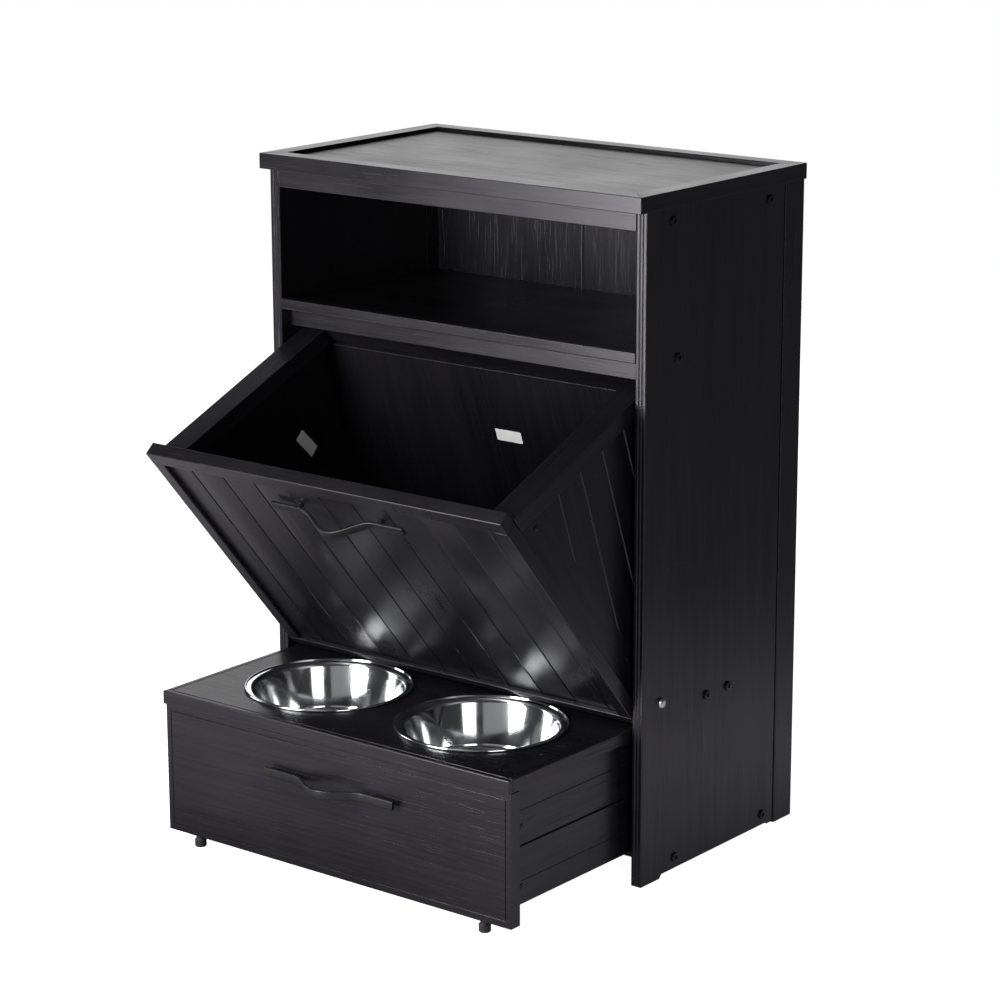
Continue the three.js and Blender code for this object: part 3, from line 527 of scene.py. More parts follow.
@dataclass(frozen=True)
class SpunSteel:
    """Polished stainless with faint spinning rings about a bowl's own axis."""

    name: str
    colour: Colour
    centre: Spot
    rings: float = 1100.0
    relief: float = 0.04 * MM
    stain_scale: float = 30.0
    stain: float = 0.93

    def make(self, groups: ShaderGroups) -> bpy.types.Material:
        """Builds the material round the bowl's axis.

        Args:
            groups: the shared shader groups.

        Returns:
            The material.
        """
        material, g, shader = new_material(self.name)
        place = g.node("ShaderNodeTexCoord").outputs["Object"]
        centred = g.vector_math("SUBTRACT", place, self.centre)
        spun = group_node(g, groups.spun, {"Vector": centred, "Rings": self.rings}).outputs
        relief = {"Strength": 0.12, "Distance": self.relief, "Height": spun["Height"]}
        duller = tuple(c * self.stain for c in self.colour[:3]) + (1,)
        tint = g.mix(g.noise(centred, self.stain_scale, 3.0), self.colour, duller)
        g.feed(shader.inputs["Base Color"], tint)
        g.feed(shader.inputs["Roughness"], spun["Roughness"])
        g.feed(shader.inputs["Normal"], g.node("ShaderNodeBump", relief).outputs["Normal"])
        shader.inputs["Metallic"].default_value = 1.0
        return material


@dataclass(frozen=True)
class HardFinish:
    """Paint, plating, moulding or paper: a base colour with its own grain and sheen."""

    name: str
    colour: Colour
    metallic: float
    low_roughness: float
    high_roughness: float
    handled_scale: float = 40.0
    speckle: float = 1400.0
    relief: float = 0.06 * MM

    def make(self, groups: ShaderGroups) -> bpy.types.Material:
        """Builds the material on object coordinates.

        Args:
            groups: the shared shader groups.

        Returns:
            The material.
        """
        material, g, shader = new_material(self.name)
        place = g.node("ShaderNodeTexCoord").outputs["Object"]
        span = {"Low": self.low_roughness, "High": self.high_roughness}
        inputs = {"Vector": place, **span, "Scale": self.handled_scale}
        sheen = group_node(g, groups.handling, inputs).outputs
        fine = g.noise(place, self.speckle, 2.0)
        paler = tuple(min(1.0, c * 1.25 + 0.004) for c in self.colour[:3]) + (1,)
        colour = g.mix(g.math("MULTIPLY", sheen["Film"], fine), self.colour, paler)
        relief = {"Strength": 0.3, "Distance": self.relief, "Height": fine}
        g.feed(shader.inputs["Base Color"], colour)
        g.feed(shader.inputs["Roughness"], sheen["Roughness"])
        g.feed(shader.inputs["Normal"], g.node("ShaderNodeBump", relief).outputs["Normal"])
        shader.inputs["Metallic"].default_value = self.metallic
        return material


def new_material(name: str) -> tuple[bpy.types.Material, Graph, bpy.types.Node]:
    """Starts a material with its Principled shader and output joined.

    Args:
        name: name of the material.

    Returns:
        The material, its Graph and the shader.
    """
    material = bpy.data.materials.new(name)
    material.use_nodes = True
    material.node_tree.nodes.clear()
    graph = Graph(material.node_tree)
    shader = graph.node("ShaderNodeBsdfPrincipled")
    graph.node("ShaderNodeOutputMaterial", {"Surface": shader.outputs[0]})
    return material, graph, shader


def group_node(graph: Graph, tree: bpy.types.NodeTree, inputs: dict) -> bpy.types.Node:
    """Places a shader group in a material with its own values.

    Args:
        graph: the material's graph.
        tree: the group.
        inputs: socket name to value or output.

    Returns:
        The group's node.
    """
    made = graph.node("ShaderNodeGroup", node_tree=tree)
    for key, value in inputs.items():
        graph.feed(made.inputs[key], value)
    return made


# ------------------------------------------------------------------ boards
WALL_LEAN = 20.5
RIM_LEAN = 108.0


class Grain(Enum):
    """Which way a board's grain runs, with everything open."""

    UP = Vector((0, 0, 1))
    ACROSS = Vector((1, 0, 0))
    DEEP = Vector((0, 1, 0))
    BIN_FRONT_UP = tilted(leaning(0))
    BIN_WALL_UP = tilted(leaning(WALL_LEAN))
    BIN_RIM = tilted(leaning(RIM_LEAN))
    BIN_FLOOR = tilted(leaning(90))


@dataclass
class Boards:
    """Bevelled twins of the frame's boards, with grain, and rubbed edges that also carry a painted highlight."""

    wood: bpy.types.Material
    # The top board's lighter copy of the stain, which paints light on the top.
    top_wood: bpy.types.Material
    ease: float = 0.7 * MM
    grooved_ease: float = 0.2 * MM
    ease_steps: int = 2
    sharp_from: float = math.radians(28)
    flat_within: float = math.radians(0.6)
    shift: float = 3.0
    depth_squeeze: float = 0.35

    def twin(
        self,
        node: str,
        grain: Grain,
        material: bpy.types.Material | None = None,
        ease: float | None = None,
    ) -> bpy.types.Object:
        """Builds one board from a frame node and puts it in the node's place.

        Args:
            node: name of the frame's node.
            grain: which way its grain runs.
            material: its finish, if not the black stain.
            ease: width of its eased edges, if not the usual one.

        Returns:
            The board.
        """
        shell = bmesh.new()
        shell.from_mesh(frame["nodes"][node].data)
        edge_mask = shell.faces.layers.float.new("edge")
        bmesh.ops.remove_doubles(shell, verts=shell.verts, dist=WELD)
        bmesh.ops.dissolve_limit(
            shell, angle_limit=self.flat_within, verts=shell.verts, edges=shell.edges
        )
        joined = [edge for edge in shell.edges if len(edge.link_faces) == 2]
        sharp = [edge for edge in joined if edge.calc_face_angle() > self.sharp_from]
        eased = bmesh.ops.bevel(
            shell,
            geom=sharp,
            offset=ease or self.ease,
            offset_type="OFFSET",
            segments=self.ease_steps,
            profile=0.5,
            affect="EDGES",
            clamp_overlap=True,
        )
        # The eased faces take the paler edge colour: rubbed wear and a painted highlight.
        for face in eased["faces"]:
            face[edge_mask] = 1.0
        self.mark_grain(shell, node, grain.value)
        mesh = bpy.data.meshes.new(node)
        shell.to_mesh(mesh)
        shell.free()
        board = add_object(f"{node}_board", mesh)
        mesh.materials.append(material or self.wood)
        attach(board, BODY_OF_NODE[node])
        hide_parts(node)
        log.info("board %s, grain %s", node, grain.name)
        return board

    def mark_grain(self, shell: bmesh.types.BMesh, node: str, along: Vector) -> None:
        """Writes the grain attribute: a place whose X runs along the grain.

        Args:
            shell: the board's mesh.
            node: its node's name, which sets its own stretch of grain.
            along: direction of the grain.
        """
        draw = random.Random(node)
        start = Vector([draw.uniform(0, most) for most in (self.shift, self.shift, 1)])
        runs_across = abs(along.x) > 0.5
        side = Vector((0, 1, 0)) if runs_across else Vector((1, 0, 0))
        third = along.cross(side)
        layer = shell.verts.layers.float_vector.new("grain")
        for vert in shell.verts:
            wide, deep = vert.co.dot(side), vert.co.dot(third)
            rings = (wide + deep, 0) if runs_across else (wide, self.depth_squeeze * deep)
            vert[layer] = Vector((vert.co.dot(along), *rings)) + start


# ------------------------------------------------------------------ wave handle
@dataclass
class WaveHandle:
    """A flat bar with straight ends and a bowed middle, on two round posts."""

    length: float = 207 * MM
    end: float = 45 * MM
    bow: float = 25 * MM
    strap: float = 4 * MM
    height: float = 11 * MM
    stand: float = 6.5 * MM
    post_pitch: float = 128 * MM
    post_radius: float = 4.5 * MM
    post_gap: float = 0.3 * MM
    ease: float = 1.1 * MM
    ease_steps: int = 4
    steps: int = 120
    post_sides: int = 40

    def tree(self) -> bpy.types.NodeTree:
        """Builds the Geometry Nodes tree that bends the bar and sets its posts.

        Returns:
            A tree with named inputs for the handle's sizes.
        """
        tree = bpy.data.node_groups.new("wave_handle", "GeometryNodeTree")
        tree.interface.new_socket(name="Geometry", in_out="INPUT", socket_type="NodeSocketGeometry")
        for label in self.sizes():
            tree.interface.new_socket(name=label, in_out="INPUT", socket_type="NodeSocketFloat")
        tree.interface.new_socket(name="Finish", in_out="INPUT", socket_type="NodeSocketMaterial")
        tree.interface.new_socket(name="Made", in_out="OUTPUT", socket_type="NodeSocketGeometry")
        g = Graph(tree)
        source = g.node("NodeGroupInput").outputs
        middle = g.math("ADD", source["Stand"], g.math("MULTIPLY", source["Strap"], 0.5))
        both = g.node("GeometryNodeJoinGeometry")
        g.feed(both.inputs[0], self.bar(g, source, middle))
        g.feed(both.inputs[0], self.posts(g, source, middle))
        real = g.node("GeometryNodeRealizeInstances", {"Geometry": both.outputs[0]})
        dressed = g.node(
            "GeometryNodeSetMaterial", {"Geometry": real.outputs[0], "Material": source["Finish"]}
        )
        g.node("NodeGroupOutput", {0: dressed.outputs[0]})
        return tree

    def sizes(self) -> dict[str, float]:
        """The handle's sizes, as the tree takes them.

        Returns:
            Input name to value.
        """
        return {
            "Length": self.length,
            "End": self.end,
            "Bow": self.bow,
            "Strap": self.strap,
            "Height": self.height,
            "Stand": self.stand,
            "Post Pitch": self.post_pitch,
            "Post Radius": self.post_radius,
            "Post Gap": self.post_gap,
            "Ease": self.ease,
        }

    def bar(self, g: Graph, source: bpy.types.bpy_prop_collection, middle: Socket) -> Socket:
        """Sweeps the bar's section along its wave.

        Args:
            g: the tree's graph.
            source: the tree's inputs.
            middle: distance of the straight ends' middle from the panel.

        Returns:
            The bar.
        """
        half = g.math("MULTIPLY", source["Length"], 0.5)
        ends = {"Start": g.combine(x=g.math("MULTIPLY", half, -1.0)), "End": g.combine(x=half)}
        line = g.node("GeometryNodeCurvePrimitiveLine", ends)
        fine = g.node("GeometryNodeResampleCurve", {"Curve": line.outputs[0], "Count": self.steps})
        place = g.node("GeometryNodeInputPosition").outputs[0]
        along = g.node("ShaderNodeSeparateXYZ", {0: place}).outputs["X"]
        reach = g.math("SUBTRACT", half, source["End"])
        share = g.math("MINIMUM", g.math("ABSOLUTE", g.math("DIVIDE", along, reach)), 1.0)
        swell = g.math("ADD", g.math("COSINE", g.math("MULTIPLY", share, math.pi)), 1.0)
        rise = g.math("MULTIPLY", g.math("MULTIPLY", swell, 0.5), source["Bow"])
        outward = g.math("MULTIPLY", g.math("ADD", rise, middle), -1.0)
        moved = {"Geometry": fine.outputs[0], "Offset": g.combine(y=outward)}
        bent = g.node("GeometryNodeSetPosition", moved)
        upright = g.node("GeometryNodeSetCurveNormal", {0: bent.outputs[0]}, mode="Z_UP")
        section = g.node(
            "GeometryNodeCurvePrimitiveQuadrilateral",
            {"Width": source["Strap"], "Height": source["Height"]},
        )
        rounded = g.node(
            "GeometryNodeFilletCurve",
            {"Curve": section.outputs[0], "Radius": source["Ease"], "Count": self.ease_steps},
            mode="POLY",
        )
        swept = g.node(
            "GeometryNodeCurveToMesh",
            {"Curve": upright.outputs[0], "Profile Curve": rounded.outputs[0], "Fill Caps": True},
        )
        return swept.outputs[0]

    def posts(self, g: Graph, source: bpy.types.bpy_prop_collection, middle: Socket) -> Socket:
        """Sets the two posts between the panel and the bar.

        Args:
            g: the tree's graph.
            source: the tree's inputs.
            middle: distance of the straight ends' middle from the panel.

        Returns:
            The posts, as instances.
        """
        out = g.math("MULTIPLY", g.math("ADD", middle, source["Post Gap"]), -0.5)
        aside = g.math("MULTIPLY", source["Post Pitch"], 0.5)
        left = g.combine(x=g.math("MULTIPLY", aside, -1.0), y=out)
        right = g.combine(x=aside, y=out)
        spots = g.node(
            "GeometryNodeMeshLine",
            {"Count": 2, "Start Location": left, "Offset": right},
            mode="END_POINTS",
        )
        reach = g.math("SUBTRACT", middle, source["Post Gap"])
        sizes = {"Vertices": self.post_sides, "Radius": source["Post Radius"], "Depth": reach}
        rod = g.node("GeometryNodeMeshCylinder", sizes)
        placed = g.node(
            "GeometryNodeInstanceOnPoints",
            {
                "Points": spots.outputs[0],
                "Instance": rod.outputs[0],
                "Rotation": (math.pi / 2, 0, 0),
            },
        )
        return placed.outputs[0]

    def build(
        self, node: str, tree: bpy.types.NodeTree, finish: bpy.types.Material, place: Matrix
    ) -> bpy.types.Object:
        """Bends a bar and puts it in a frame node's place.

        Args:
            node: the handle's frame node.
            tree: the Geometry Nodes tree.
            finish: its material.
            place: matrix from the handle's own frame (panel face at y = 0) to the row frame.

        Returns:
            The handle.
        """
        values = {**self.sizes(), "Finish": finish}
        mesh = evaluate_tree(node, tree, values, bpy.data.meshes.new(node))
        mesh.transform(place)
        shell = bmesh.new()
        shell.from_mesh(mesh)
        bmesh.ops.recalc_face_normals(shell, faces=shell.faces)
        shell.to_mesh(mesh)
        shell.free()
        shade_smooth(mesh, 40)
        made = add_object(f"{node}_bar", mesh)
        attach(made, BODY_OF_NODE[node])
        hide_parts(node)
        log.info("handle %s", node)
        return made


def evaluate_tree(
    name: str, tree: bpy.types.NodeTree, values: dict, base: bpy.types.Mesh
) -> bpy.types.Mesh:
    """Runs a Geometry Nodes tree once and keeps its result as a plain mesh.

    Args:
        name: name of the mesh.
        tree: the tree.
        values: input name to value.
        base: the mesh that the modifier stands on.

    Returns:
        The realized mesh.
    """
    holder = add_object(f"{name}_maker", base)
    modifier = holder.modifiers.new("make", "NODES")
    modifier.node_group = tree
    for item in tree.interface.items_tree:
        if item.item_type == "SOCKET" and item.in_out == "INPUT" and item.name in values:
            modifier[item.identifier] = values[item.name]
    graph = bpy.context.evaluated_depsgraph_get()
    mesh = bpy.data.meshes.new_from_object(holder.evaluated_get(graph), depsgraph=graph)
    mesh.name = name
    bpy.data.objects.remove(holder)
    return mesh


# ------------------------------------------------------------------ fasteners
class Drive(Enum):
    """The recess in a fastener's head."""

    HEX = "hex"
    CROSS = "cross"


@dataclass(frozen=True)
class Head:
    """A bolt's or screw's head, with its recess."""

    name: str
    radius: float
    height: float
    ease: float
    recess: float
    depth: float
    drive: Drive
    sides: int = 24

    def recess_radius(self, angle: float) -> float:
        """How far the recess reaches from the axis.

        Args:
            angle: direction round the axis, in radians.

        Returns:
            Distance from the axis to the recess's edge.
        """
        if self.drive is Drive.HEX:
            turn = (angle + math.pi / 6) % (math.pi / 3) - math.pi / 6
            return self.recess * math.cos(math.pi / 6) / math.cos(turn)
        return self.recess * (0.3 + 0.7 * abs(math.cos(2 * angle)) ** 6)

    def mesh(self) -> bpy.types.Mesh:
        """Builds the head standing on Z = 0.

        Returns:
            A closed mesh of a few dozen faces.
        """
        angles = [2 * math.pi * i / self.sides for i in range(self.sides)]
        outer = [
            (self.radius, 0.0),
            (self.radius, self.height - self.ease),
            (self.radius - 0.35 * self.ease, self.height - 0.3 * self.ease),
            (self.radius - self.ease, self.height),
        ]
        verts = [Vector((r * math.cos(a), r * math.sin(a), z)) for r, z in outer for a in angles]
        for z in (self.height, self.height - self.depth):
            for a in angles:
                r = self.recess_radius(a)
                verts.append(Vector((r * math.cos(a), r * math.sin(a), z)))
        faces = [
            (
                ring * self.sides + i,
                ring * self.sides + (i + 1) % self.sides,
                (ring + 1) * self.sides + (i + 1) % self.sides,
                (ring + 1) * self.sides + i,
            )
            for ring in range(len(outer) + 1)
            for i in range(self.sides)
        ]
        last = (len(outer) + 1) * self.sides
        faces.append(tuple(range(last, last + self.sides)))
        faces.append(tuple(reversed(range(self.sides))))
        return mesh_of(self.name, verts, faces)


@dataclass
class Fasteners:
    """Places one kind of head at many spots of a body."""

    seed: int = 7
    setter: bpy.types.NodeTree | None = None

    def tree(self) -> bpy.types.NodeTree:
        """Builds the Geometry Nodes tree that sets heads on points.

        Returns:
            A tree with the head, a turn seed and a finish as its inputs.
        """
        tree = bpy.data.node_groups.new("set_fasteners", "GeometryNodeTree")
        tree.interface.new_socket(name="Spots", in_out="INPUT", socket_type="NodeSocketGeometry")
        tree.interface.new_socket(name="Head", in_out="INPUT", socket_type="NodeSocketObject")
        tree.interface.new_socket(name="Turn Seed", in_out="INPUT", socket_type="NodeSocketInt")
        tree.interface.new_socket(name="Finish", in_out="INPUT", socket_type="NodeSocketMaterial")
        tree.interface.new_socket(name="Made", in_out="OUTPUT", socket_type="NodeSocketGeometry")
        g = Graph(tree)
        source = g.node("NodeGroupInput").outputs
        axis = g.node(
            "GeometryNodeInputNamedAttribute", {"Name": "axis"}, data_type="FLOAT_VECTOR"
        )
        aim = g.node("FunctionNodeAlignRotationToVector", {"Vector": axis.outputs[0]}, axis="Z")
        turn = g.node("FunctionNodeRandomValue", data_type="FLOAT")
        turn.inputs[2].default_value = 0.0
        turn.inputs[3].default_value = 2 * math.pi
        g.feed(turn.inputs["Seed"], source["Turn Seed"])
        spin = g.node(
            "FunctionNodeAxisAngleToRotation", {"Axis": (0, 0, 1), "Angle": turn.outputs[1]}
        )
        both = g.node(
            "FunctionNodeRotateRotation",
            {"Rotation": aim.outputs[0], "Rotate By": spin.outputs[0]},
            rotation_space="LOCAL",
        )
        head = g.node("GeometryNodeObjectInfo", {"Object": source["Head"]})
        placed = g.node(
            "GeometryNodeInstanceOnPoints",
            {
                "Points": source["Spots"],
                "Instance": head.outputs["Geometry"],
                "Rotation": both.outputs[0],
            },
        )
        real = g.node("GeometryNodeRealizeInstances", {"Geometry": placed.outputs[0]})
        dressed = g.node(
            "GeometryNodeSetMaterial", {"Geometry": real.outputs[0], "Material": source["Finish"]}
        )
        g.node("NodeGroupOutput", {0: dressed.outputs[0]})
        return tree

    def place(
        self,
        name: str,
        body: str,
        head: Head,
        spots: list[tuple[Vector, Vector]],
        finish: bpy.types.Material,
        slot: str,
    ) -> bpy.types.Object:
        """Sets heads on a body.

        Args:
            name: name of the piece.
            body: the body that it rides on.
            head: the kind of head.
            spots: (place, outward axis) of each.
            finish: its material.
            slot: the record's material slot, which is not used.

        Returns:
            One piece with every head in it.
        """
        self.setter = self.setter or self.tree()
        pattern = add_object(f"{name}_head", head.mesh())
        points = bpy.data.meshes.new(f"{name}_spots")
        points.from_pydata([tuple(p) for p, _ in spots], [], [])
        axis = points.attributes.new("axis", "FLOAT_VECTOR", "POINT")
        for item, (_, outward) in zip(axis.data, spots):
            item.vector = outward
        values = {"Head": pattern, "Turn Seed": self.seed, "Finish": finish}
        mesh = evaluate_tree(name, self.setter, values, points)
        bpy.data.objects.remove(pattern)
        shade_smooth(mesh, 35)
        made = add_object(name, mesh)
        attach(made, body)
        log.info("%s: %d on %s", name, len(spots), body)
        return made


# ------------------------------------------------------------------ cabinet
@dataclass
class Cabinet:
    """The fixed case: sides, legs, cap, back, shelf and rails."""

    boards: Boards
    fasteners: Fasteners
    black: bpy.types.Material
    brace_drop: float = 4.5 * MM
    shelf_setback: float = 50 * MM
    bolt: Head = Head("case_bolt", 6.2 * MM, 2.6 * MM, 0.8 * MM, 3.0 * MM, 1.8 * MM, Drive.HEX)

    def build(self) -> None:
        """Builds and dresses every board of the case."""
        for side in ("left", "right"):
            self.boards.twin(f"side_panel_{side}", Grain.UP)
            self.boards.twin(f"rear_leg_{side}", Grain.UP)
            self.boards.twin(f"drawer_runner_{side}", Grain.DEEP)
            self.boards.twin(f"cap_trim_{side}", Grain.DEEP)
        for node in sorted(n for n in frame["nodes"] if n.startswith("back_board")):
            self.boards.twin(node, Grain.UP)
        for node in (
            "cap_trim_front",
            "cap_trim_back",
            "fascia_rail",
            "top_brace_front",
            "top_brace_back",
            "shelf_lip",
            "shelf_board",
            "bin_stop_rail",
            "bin_rest_board",
            "base_rail_front",
            "base_rail_back",
        ):
            self.boards.twin(node, Grain.ACROSS)
        # The top board takes the lighter copy of the stain: painted light.
        self.boards.twin("top_board", Grain.ACROSS, self.boards.top_wood)
        self.bolts()

    def bolts(self) -> None:
        """Bolt heads on the outer faces, one into the end of each cross board."""
        spots = []
        for side, sign in (("left", -1), ("right", 1)):
            low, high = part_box(f"side_panel_{side}")
            face = high.x if sign > 0 else low.x
            for y, z in self.bolt_places():
                spots.append((Vector((face, y, z)), Vector((sign, 0, 0))))
        self.fasteners.place("case_bolts", "cabinet", self.bolt, spots, self.black, "handle_black")

    def bolt_places(self) -> list[tuple[float, float]]:
        """Where the bolts go on a side, each into the end of the board that it holds.

        Returns:
            (y, z) of each bolt.
        """
        places = []
        for node, share, drop in (
            ("top_brace_front", 0.25, self.brace_drop),
            ("top_brace_back", 0.4, self.brace_drop),
            ("base_rail_front", 0.5, 0.0),
            ("base_rail_back", 0.5, 0.0),
            ("bin_rest_board", 0.2, 0.0),
            ("bin_rest_board", 0.8, 0.0),
        ):
            low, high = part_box(node)
            places.append((low.y + share * (high.y - low.y), (low.z + high.z) / 2 - drop))
        low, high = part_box("shelf_board")
        places.append((low.y + self.shelf_setback, (low.z + high.z) / 2))
        return places


# ------------------------------------------------------------------ bin
@dataclass
class TiltBin:
    """The tilt-out bin: framed front, beaded walls, sloping rims, handle and labels."""

    boards: Boards
    fasteners: Fasteners
    black: bpy.types.Material
    paper: bpy.types.Material
    front_setback: float = 38 * MM
    bead_recess: float = 6 * MM
    handle_rise: float = 353.7 * MM
    screw: Head = Head("bin_screw", 3.4 * MM, 0.9 * MM, 0.5 * MM, 1.9 * MM, 0.7 * MM, Drive.CROSS)
    screw_spots: tuple[tuple[float, float], ...] = ((5 * MM, 344 * MM), (12 * MM, 71 * MM))
    label_size: Spot = (41 * MM, 17 * MM, 0.2 * MM)
    label_ease: float = 1.5 * MM
    label_ease_steps: int = 5
    label_lift: float = 0.05 * MM
    side_label: tuple[float, float] = (151.6 * MM, 194.4 * MM)
    side_label_lean: float = -6.0
    back_label: Spot = (20.3 * MM, 226.3 * MM, 181.5 * MM)

    def build(self, handle: WaveHandle, tree: bpy.types.NodeTree) -> None:
        """Builds and dresses the bin.

        Args:
            handle: the handle's sizes.
            tree: the handle's Geometry Nodes tree.
        """
        for side in ("left", "right"):
            self.boards.twin(f"bin_front_stile_{side}", Grain.BIN_FRONT_UP)
            self.boards.twin(f"bin_side_stile_{side}", Grain.BIN_FRONT_UP)
            self.boards.twin(
                f"bin_side_boards_{side}", Grain.BIN_WALL_UP, ease=self.boards.grooved_ease
            )
            self.boards.twin(f"bin_rim_{side}", Grain.BIN_RIM)
        self.boards.twin("bin_front_boards", Grain.BIN_FRONT_UP, ease=self.boards.grooved_ease)
        self.boards.twin("bin_back_wall", Grain.BIN_WALL_UP)
        for node in ("bin_front_rail_top", "bin_front_rail_bottom", "bin_rim_rear", "bin_floor"):
            self.boards.twin(node, Grain.ACROSS)
        face = PIVOT.y - self.front_setback + self.bead_recess
        low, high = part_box("bin_handle")
        middle = opened(Vector(((low.x + high.x) / 2, face, PIVOT.z + self.handle_rise)))
        place = Matrix.Translation(middle) @ Matrix.Rotation(TILT, 4, "X")
        handle.build("bin_handle", tree, self.black, place)
        self.wall_screws()
        self.labels()

    def labels(self) -> None:
        """Two blank labels inside, one on the left wall and one on the back wall."""
        across = Vector((1, 0, 0))
        side_spot = Vector((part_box("bin_side_boards_left")[1].x, *self.side_label))
        self.label("label_left", side_spot, leaning(self.side_label_lean), across)
        wall_up = leaning(WALL_LEAN)
        self.label("label_back", Vector(self.back_label), across, across.cross(wall_up))

    def label(self, name: str, spot: Vector, along: Vector, out: Vector) -> None:
        """Sticks one blank label on the bin.

        Args:
            name: name of the piece.
            spot: its middle on the wall, from the pivot, with the bin closed.
            along: direction of its long side.
            out: direction away from the wall.
        """
        long, wide, thick = self.label_size
        across = out.cross(along)
        ring = []
        for turn, (u, v) in enumerate(((1, 1), (-1, 1), (-1, -1), (1, -1))):
            corner = (u * (long / 2 - self.label_ease), v * (wide / 2 - self.label_ease))
            start = 90 * turn
            ring.extend(arc(corner, self.label_ease, start, start + 90, self.label_ease_steps))
        verts = [
            opened(PIVOT + spot + along * a + across * b + out * (self.label_lift + rise))
            for rise in (0.0, thick)
            for a, b in ring
        ]
        count = len(ring)
        faces = [tuple(range(count)), tuple(range(count, 2 * count))]
        faces += [(i, (i + 1) % count, count + (i + 1) % count, count + i) for i in range(count)]
        mesh = mesh_of(name, verts, faces)
        mesh.materials.append(self.paper)
        made = add_object(name, mesh)
        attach(made, "bin")
        log.info("blank label %s", name)

    def wall_screws(self) -> None:
        """Screw heads through each side wall into the front's stiles and the floor."""
        spots = []
        for side, sign in (("left", -1), ("right", 1)):
            low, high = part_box(f"bin_side_stile_{side}")
            face = high.x if sign > 0 else low.x
            for y, z in self.screw_spots:
                place = opened(PIVOT + Vector((0, y, z)))
                spots.append((Vector((face, place.y, place.z)), Vector((sign, 0, 0))))
        self.fasteners.place(
            "bin_wall_screws", "bin", self.screw, spots, self.black, "handle_black"
        )


# ------------------------------------------------------------------ drawer
@dataclass
class Bowl:
    """A spun steel bowl with a rolled rim."""

    side: str
    sheet: float = 1.2 * MM
    roll: float = 1.7 * MM
    flange: float = 7 * MM
    taper: float = 14 * MM
    corner: float = 14 * MM
    crown: float = 1.2 * MM
    wall_angle: float = -14.0
    round_steps: int = 12
    segments: int = 160
    steel: Colour = (0.80, 0.81, 0.83, 1)

    def profile(self, radius: float, bottom: float, seat: float) -> list[tuple[float, float]]:
        """The bowl's section, from the inside centre over the rim to the outside centre.

        Args:
            radius: over the rolled rim.
            bottom: height of the underside of its floor.
            seat: height of the underside of its flange.

        Returns:
            (radius, height) points.
        """
        body = radius - self.roll - self.flange
        wall = body - self.sheet
        foot = wall - self.taper
        floor = bottom + self.sheet
        inner = (foot - self.corner, floor + self.corner)
        crown = [
            (0.0, floor + self.crown),
            (foot * 0.5, floor + self.crown),
            (foot * 0.56, floor + 0.8 * self.crown),
            (foot * 0.62, floor + 0.1 * self.crown),
            (foot * 0.66, floor),
        ]
        lip_inside = [
            (wall - 3.0 * MM, seat - 4.6 * MM),
            (wall - 1.6 * MM, seat - 1.6 * MM),
            (wall, seat + 0.4 * self.sheet),
            (wall + 1.8 * MM, seat + self.sheet),
            (radius - self.roll - 1.2 * MM, seat + self.sheet + 0.3 * MM),
        ]
        lip_outside = [
            (body + 1.5 * MM, seat),
            (body, seat - 1.0 * MM),
            (body - 2.6 * MM, seat - 5.6 * MM),
        ]
        steps = self.round_steps
        return [
            *crown,
            *arc(inner, self.corner, -90, self.wall_angle, steps),
            *lip_inside,
            *arc((radius - self.roll, seat + self.roll), self.roll, 100, -90, steps),
            *lip_outside,
            *arc(inner, self.corner + self.sheet, self.wall_angle, -90, steps),
            (foot * 0.62, bottom),
            (0.0, bottom),
        ]

    def build(self, groups: ShaderGroups) -> bpy.types.Object:
        """Spins the bowl in its frame node's place.

        Args:
            groups: the shared shader groups.

        Returns:
            The bowl.
        """
        node = f"bowl_{self.side}"
        low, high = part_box(node)
        centre = Vector(((low.x + high.x) / 2, (low.y + high.y) / 2, 0))
        radius = (high.x - low.x) / 2
        seat = high.z - 2 * self.roll
        mesh = revolve(node, self.profile(radius, low.z, seat), self.segments)
        mesh.transform(Matrix.Translation(centre))
        shade_smooth(mesh, 50)
        finish = SpunSteel(f"spun_steel_{self.side}", self.steel, tuple(centre))
        mesh.materials.append(finish.make(groups))
        made = add_object(f"{node}_steel", mesh)
        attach(made, "drawer")
        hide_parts(node)
        log.info("bowl %s, %.0f mm across", self.side, 2000 * radius)
        return made


@dataclass
class BowlDrawer:
    """The pull-out drawer: front, grooved sides, bowl board, bowls, handle and glides."""

    boards: Boards
    fasteners: Fasteners
    black: bpy.types.Material
    plastic: bpy.types.Material
    screw: Head = Head("drawer_screw", 3.6 * MM, 0.9 * MM, 0.5 * MM, 2 * MM, 0.7 * MM, Drive.CROSS)
    screw_setback: float = 14 * MM
    screw_shares: tuple[float, float] = (0.15, 0.66)

    def build(self, groups: ShaderGroups, handle: WaveHandle, tree: bpy.types.NodeTree) -> None:
        """Builds and dresses the drawer.

        Args:
            groups: the shared shader groups.
            handle: the handle's sizes.
            tree: the handle's Geometry Nodes tree.
        """
        self.boards.twin("drawer_front", Grain.ACROSS, ease=self.boards.grooved_ease)
        for node in ("drawer_back", "bowl_board", "bowl_board_trim_front"):
            self.boards.twin(node, Grain.ACROSS)
        for side in ("left", "right"):
            self.boards.twin(f"drawer_side_{side}", Grain.DEEP, ease=self.boards.grooved_ease)
            self.boards.twin(f"bowl_board_trim_{side}", Grain.DEEP)
            Bowl(side).build(groups)
            frame["nodes"][f"glide_{side}"].data.materials[0] = self.plastic
        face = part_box("drawer_front")[0].y
        low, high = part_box("drawer_handle")
        place = Matrix.Translation(((low.x + high.x) / 2, face, (low.z + high.z) / 2))
        handle.build("drawer_handle", tree, self.black, place)
        self.side_screws()

    def side_screws(self) -> None:
        """Screw heads through the drawer's sides into its front."""
        spots = []
        for side, sign in (("left", -1), ("right", 1)):
            low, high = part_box(f"drawer_side_{side}")
            face = high.x if sign > 0 else low.x
            for share in self.screw_shares:
                z = low.z + share * (high.z - low.z)
                place = Vector((face, low.y + self.screw_setback, z))
                spots.append((place, Vector((sign, 0, 0))))
        self.fasteners.place(
            "drawer_side_screws", "drawer", self.screw, spots, self.black, "handle_black"
        )


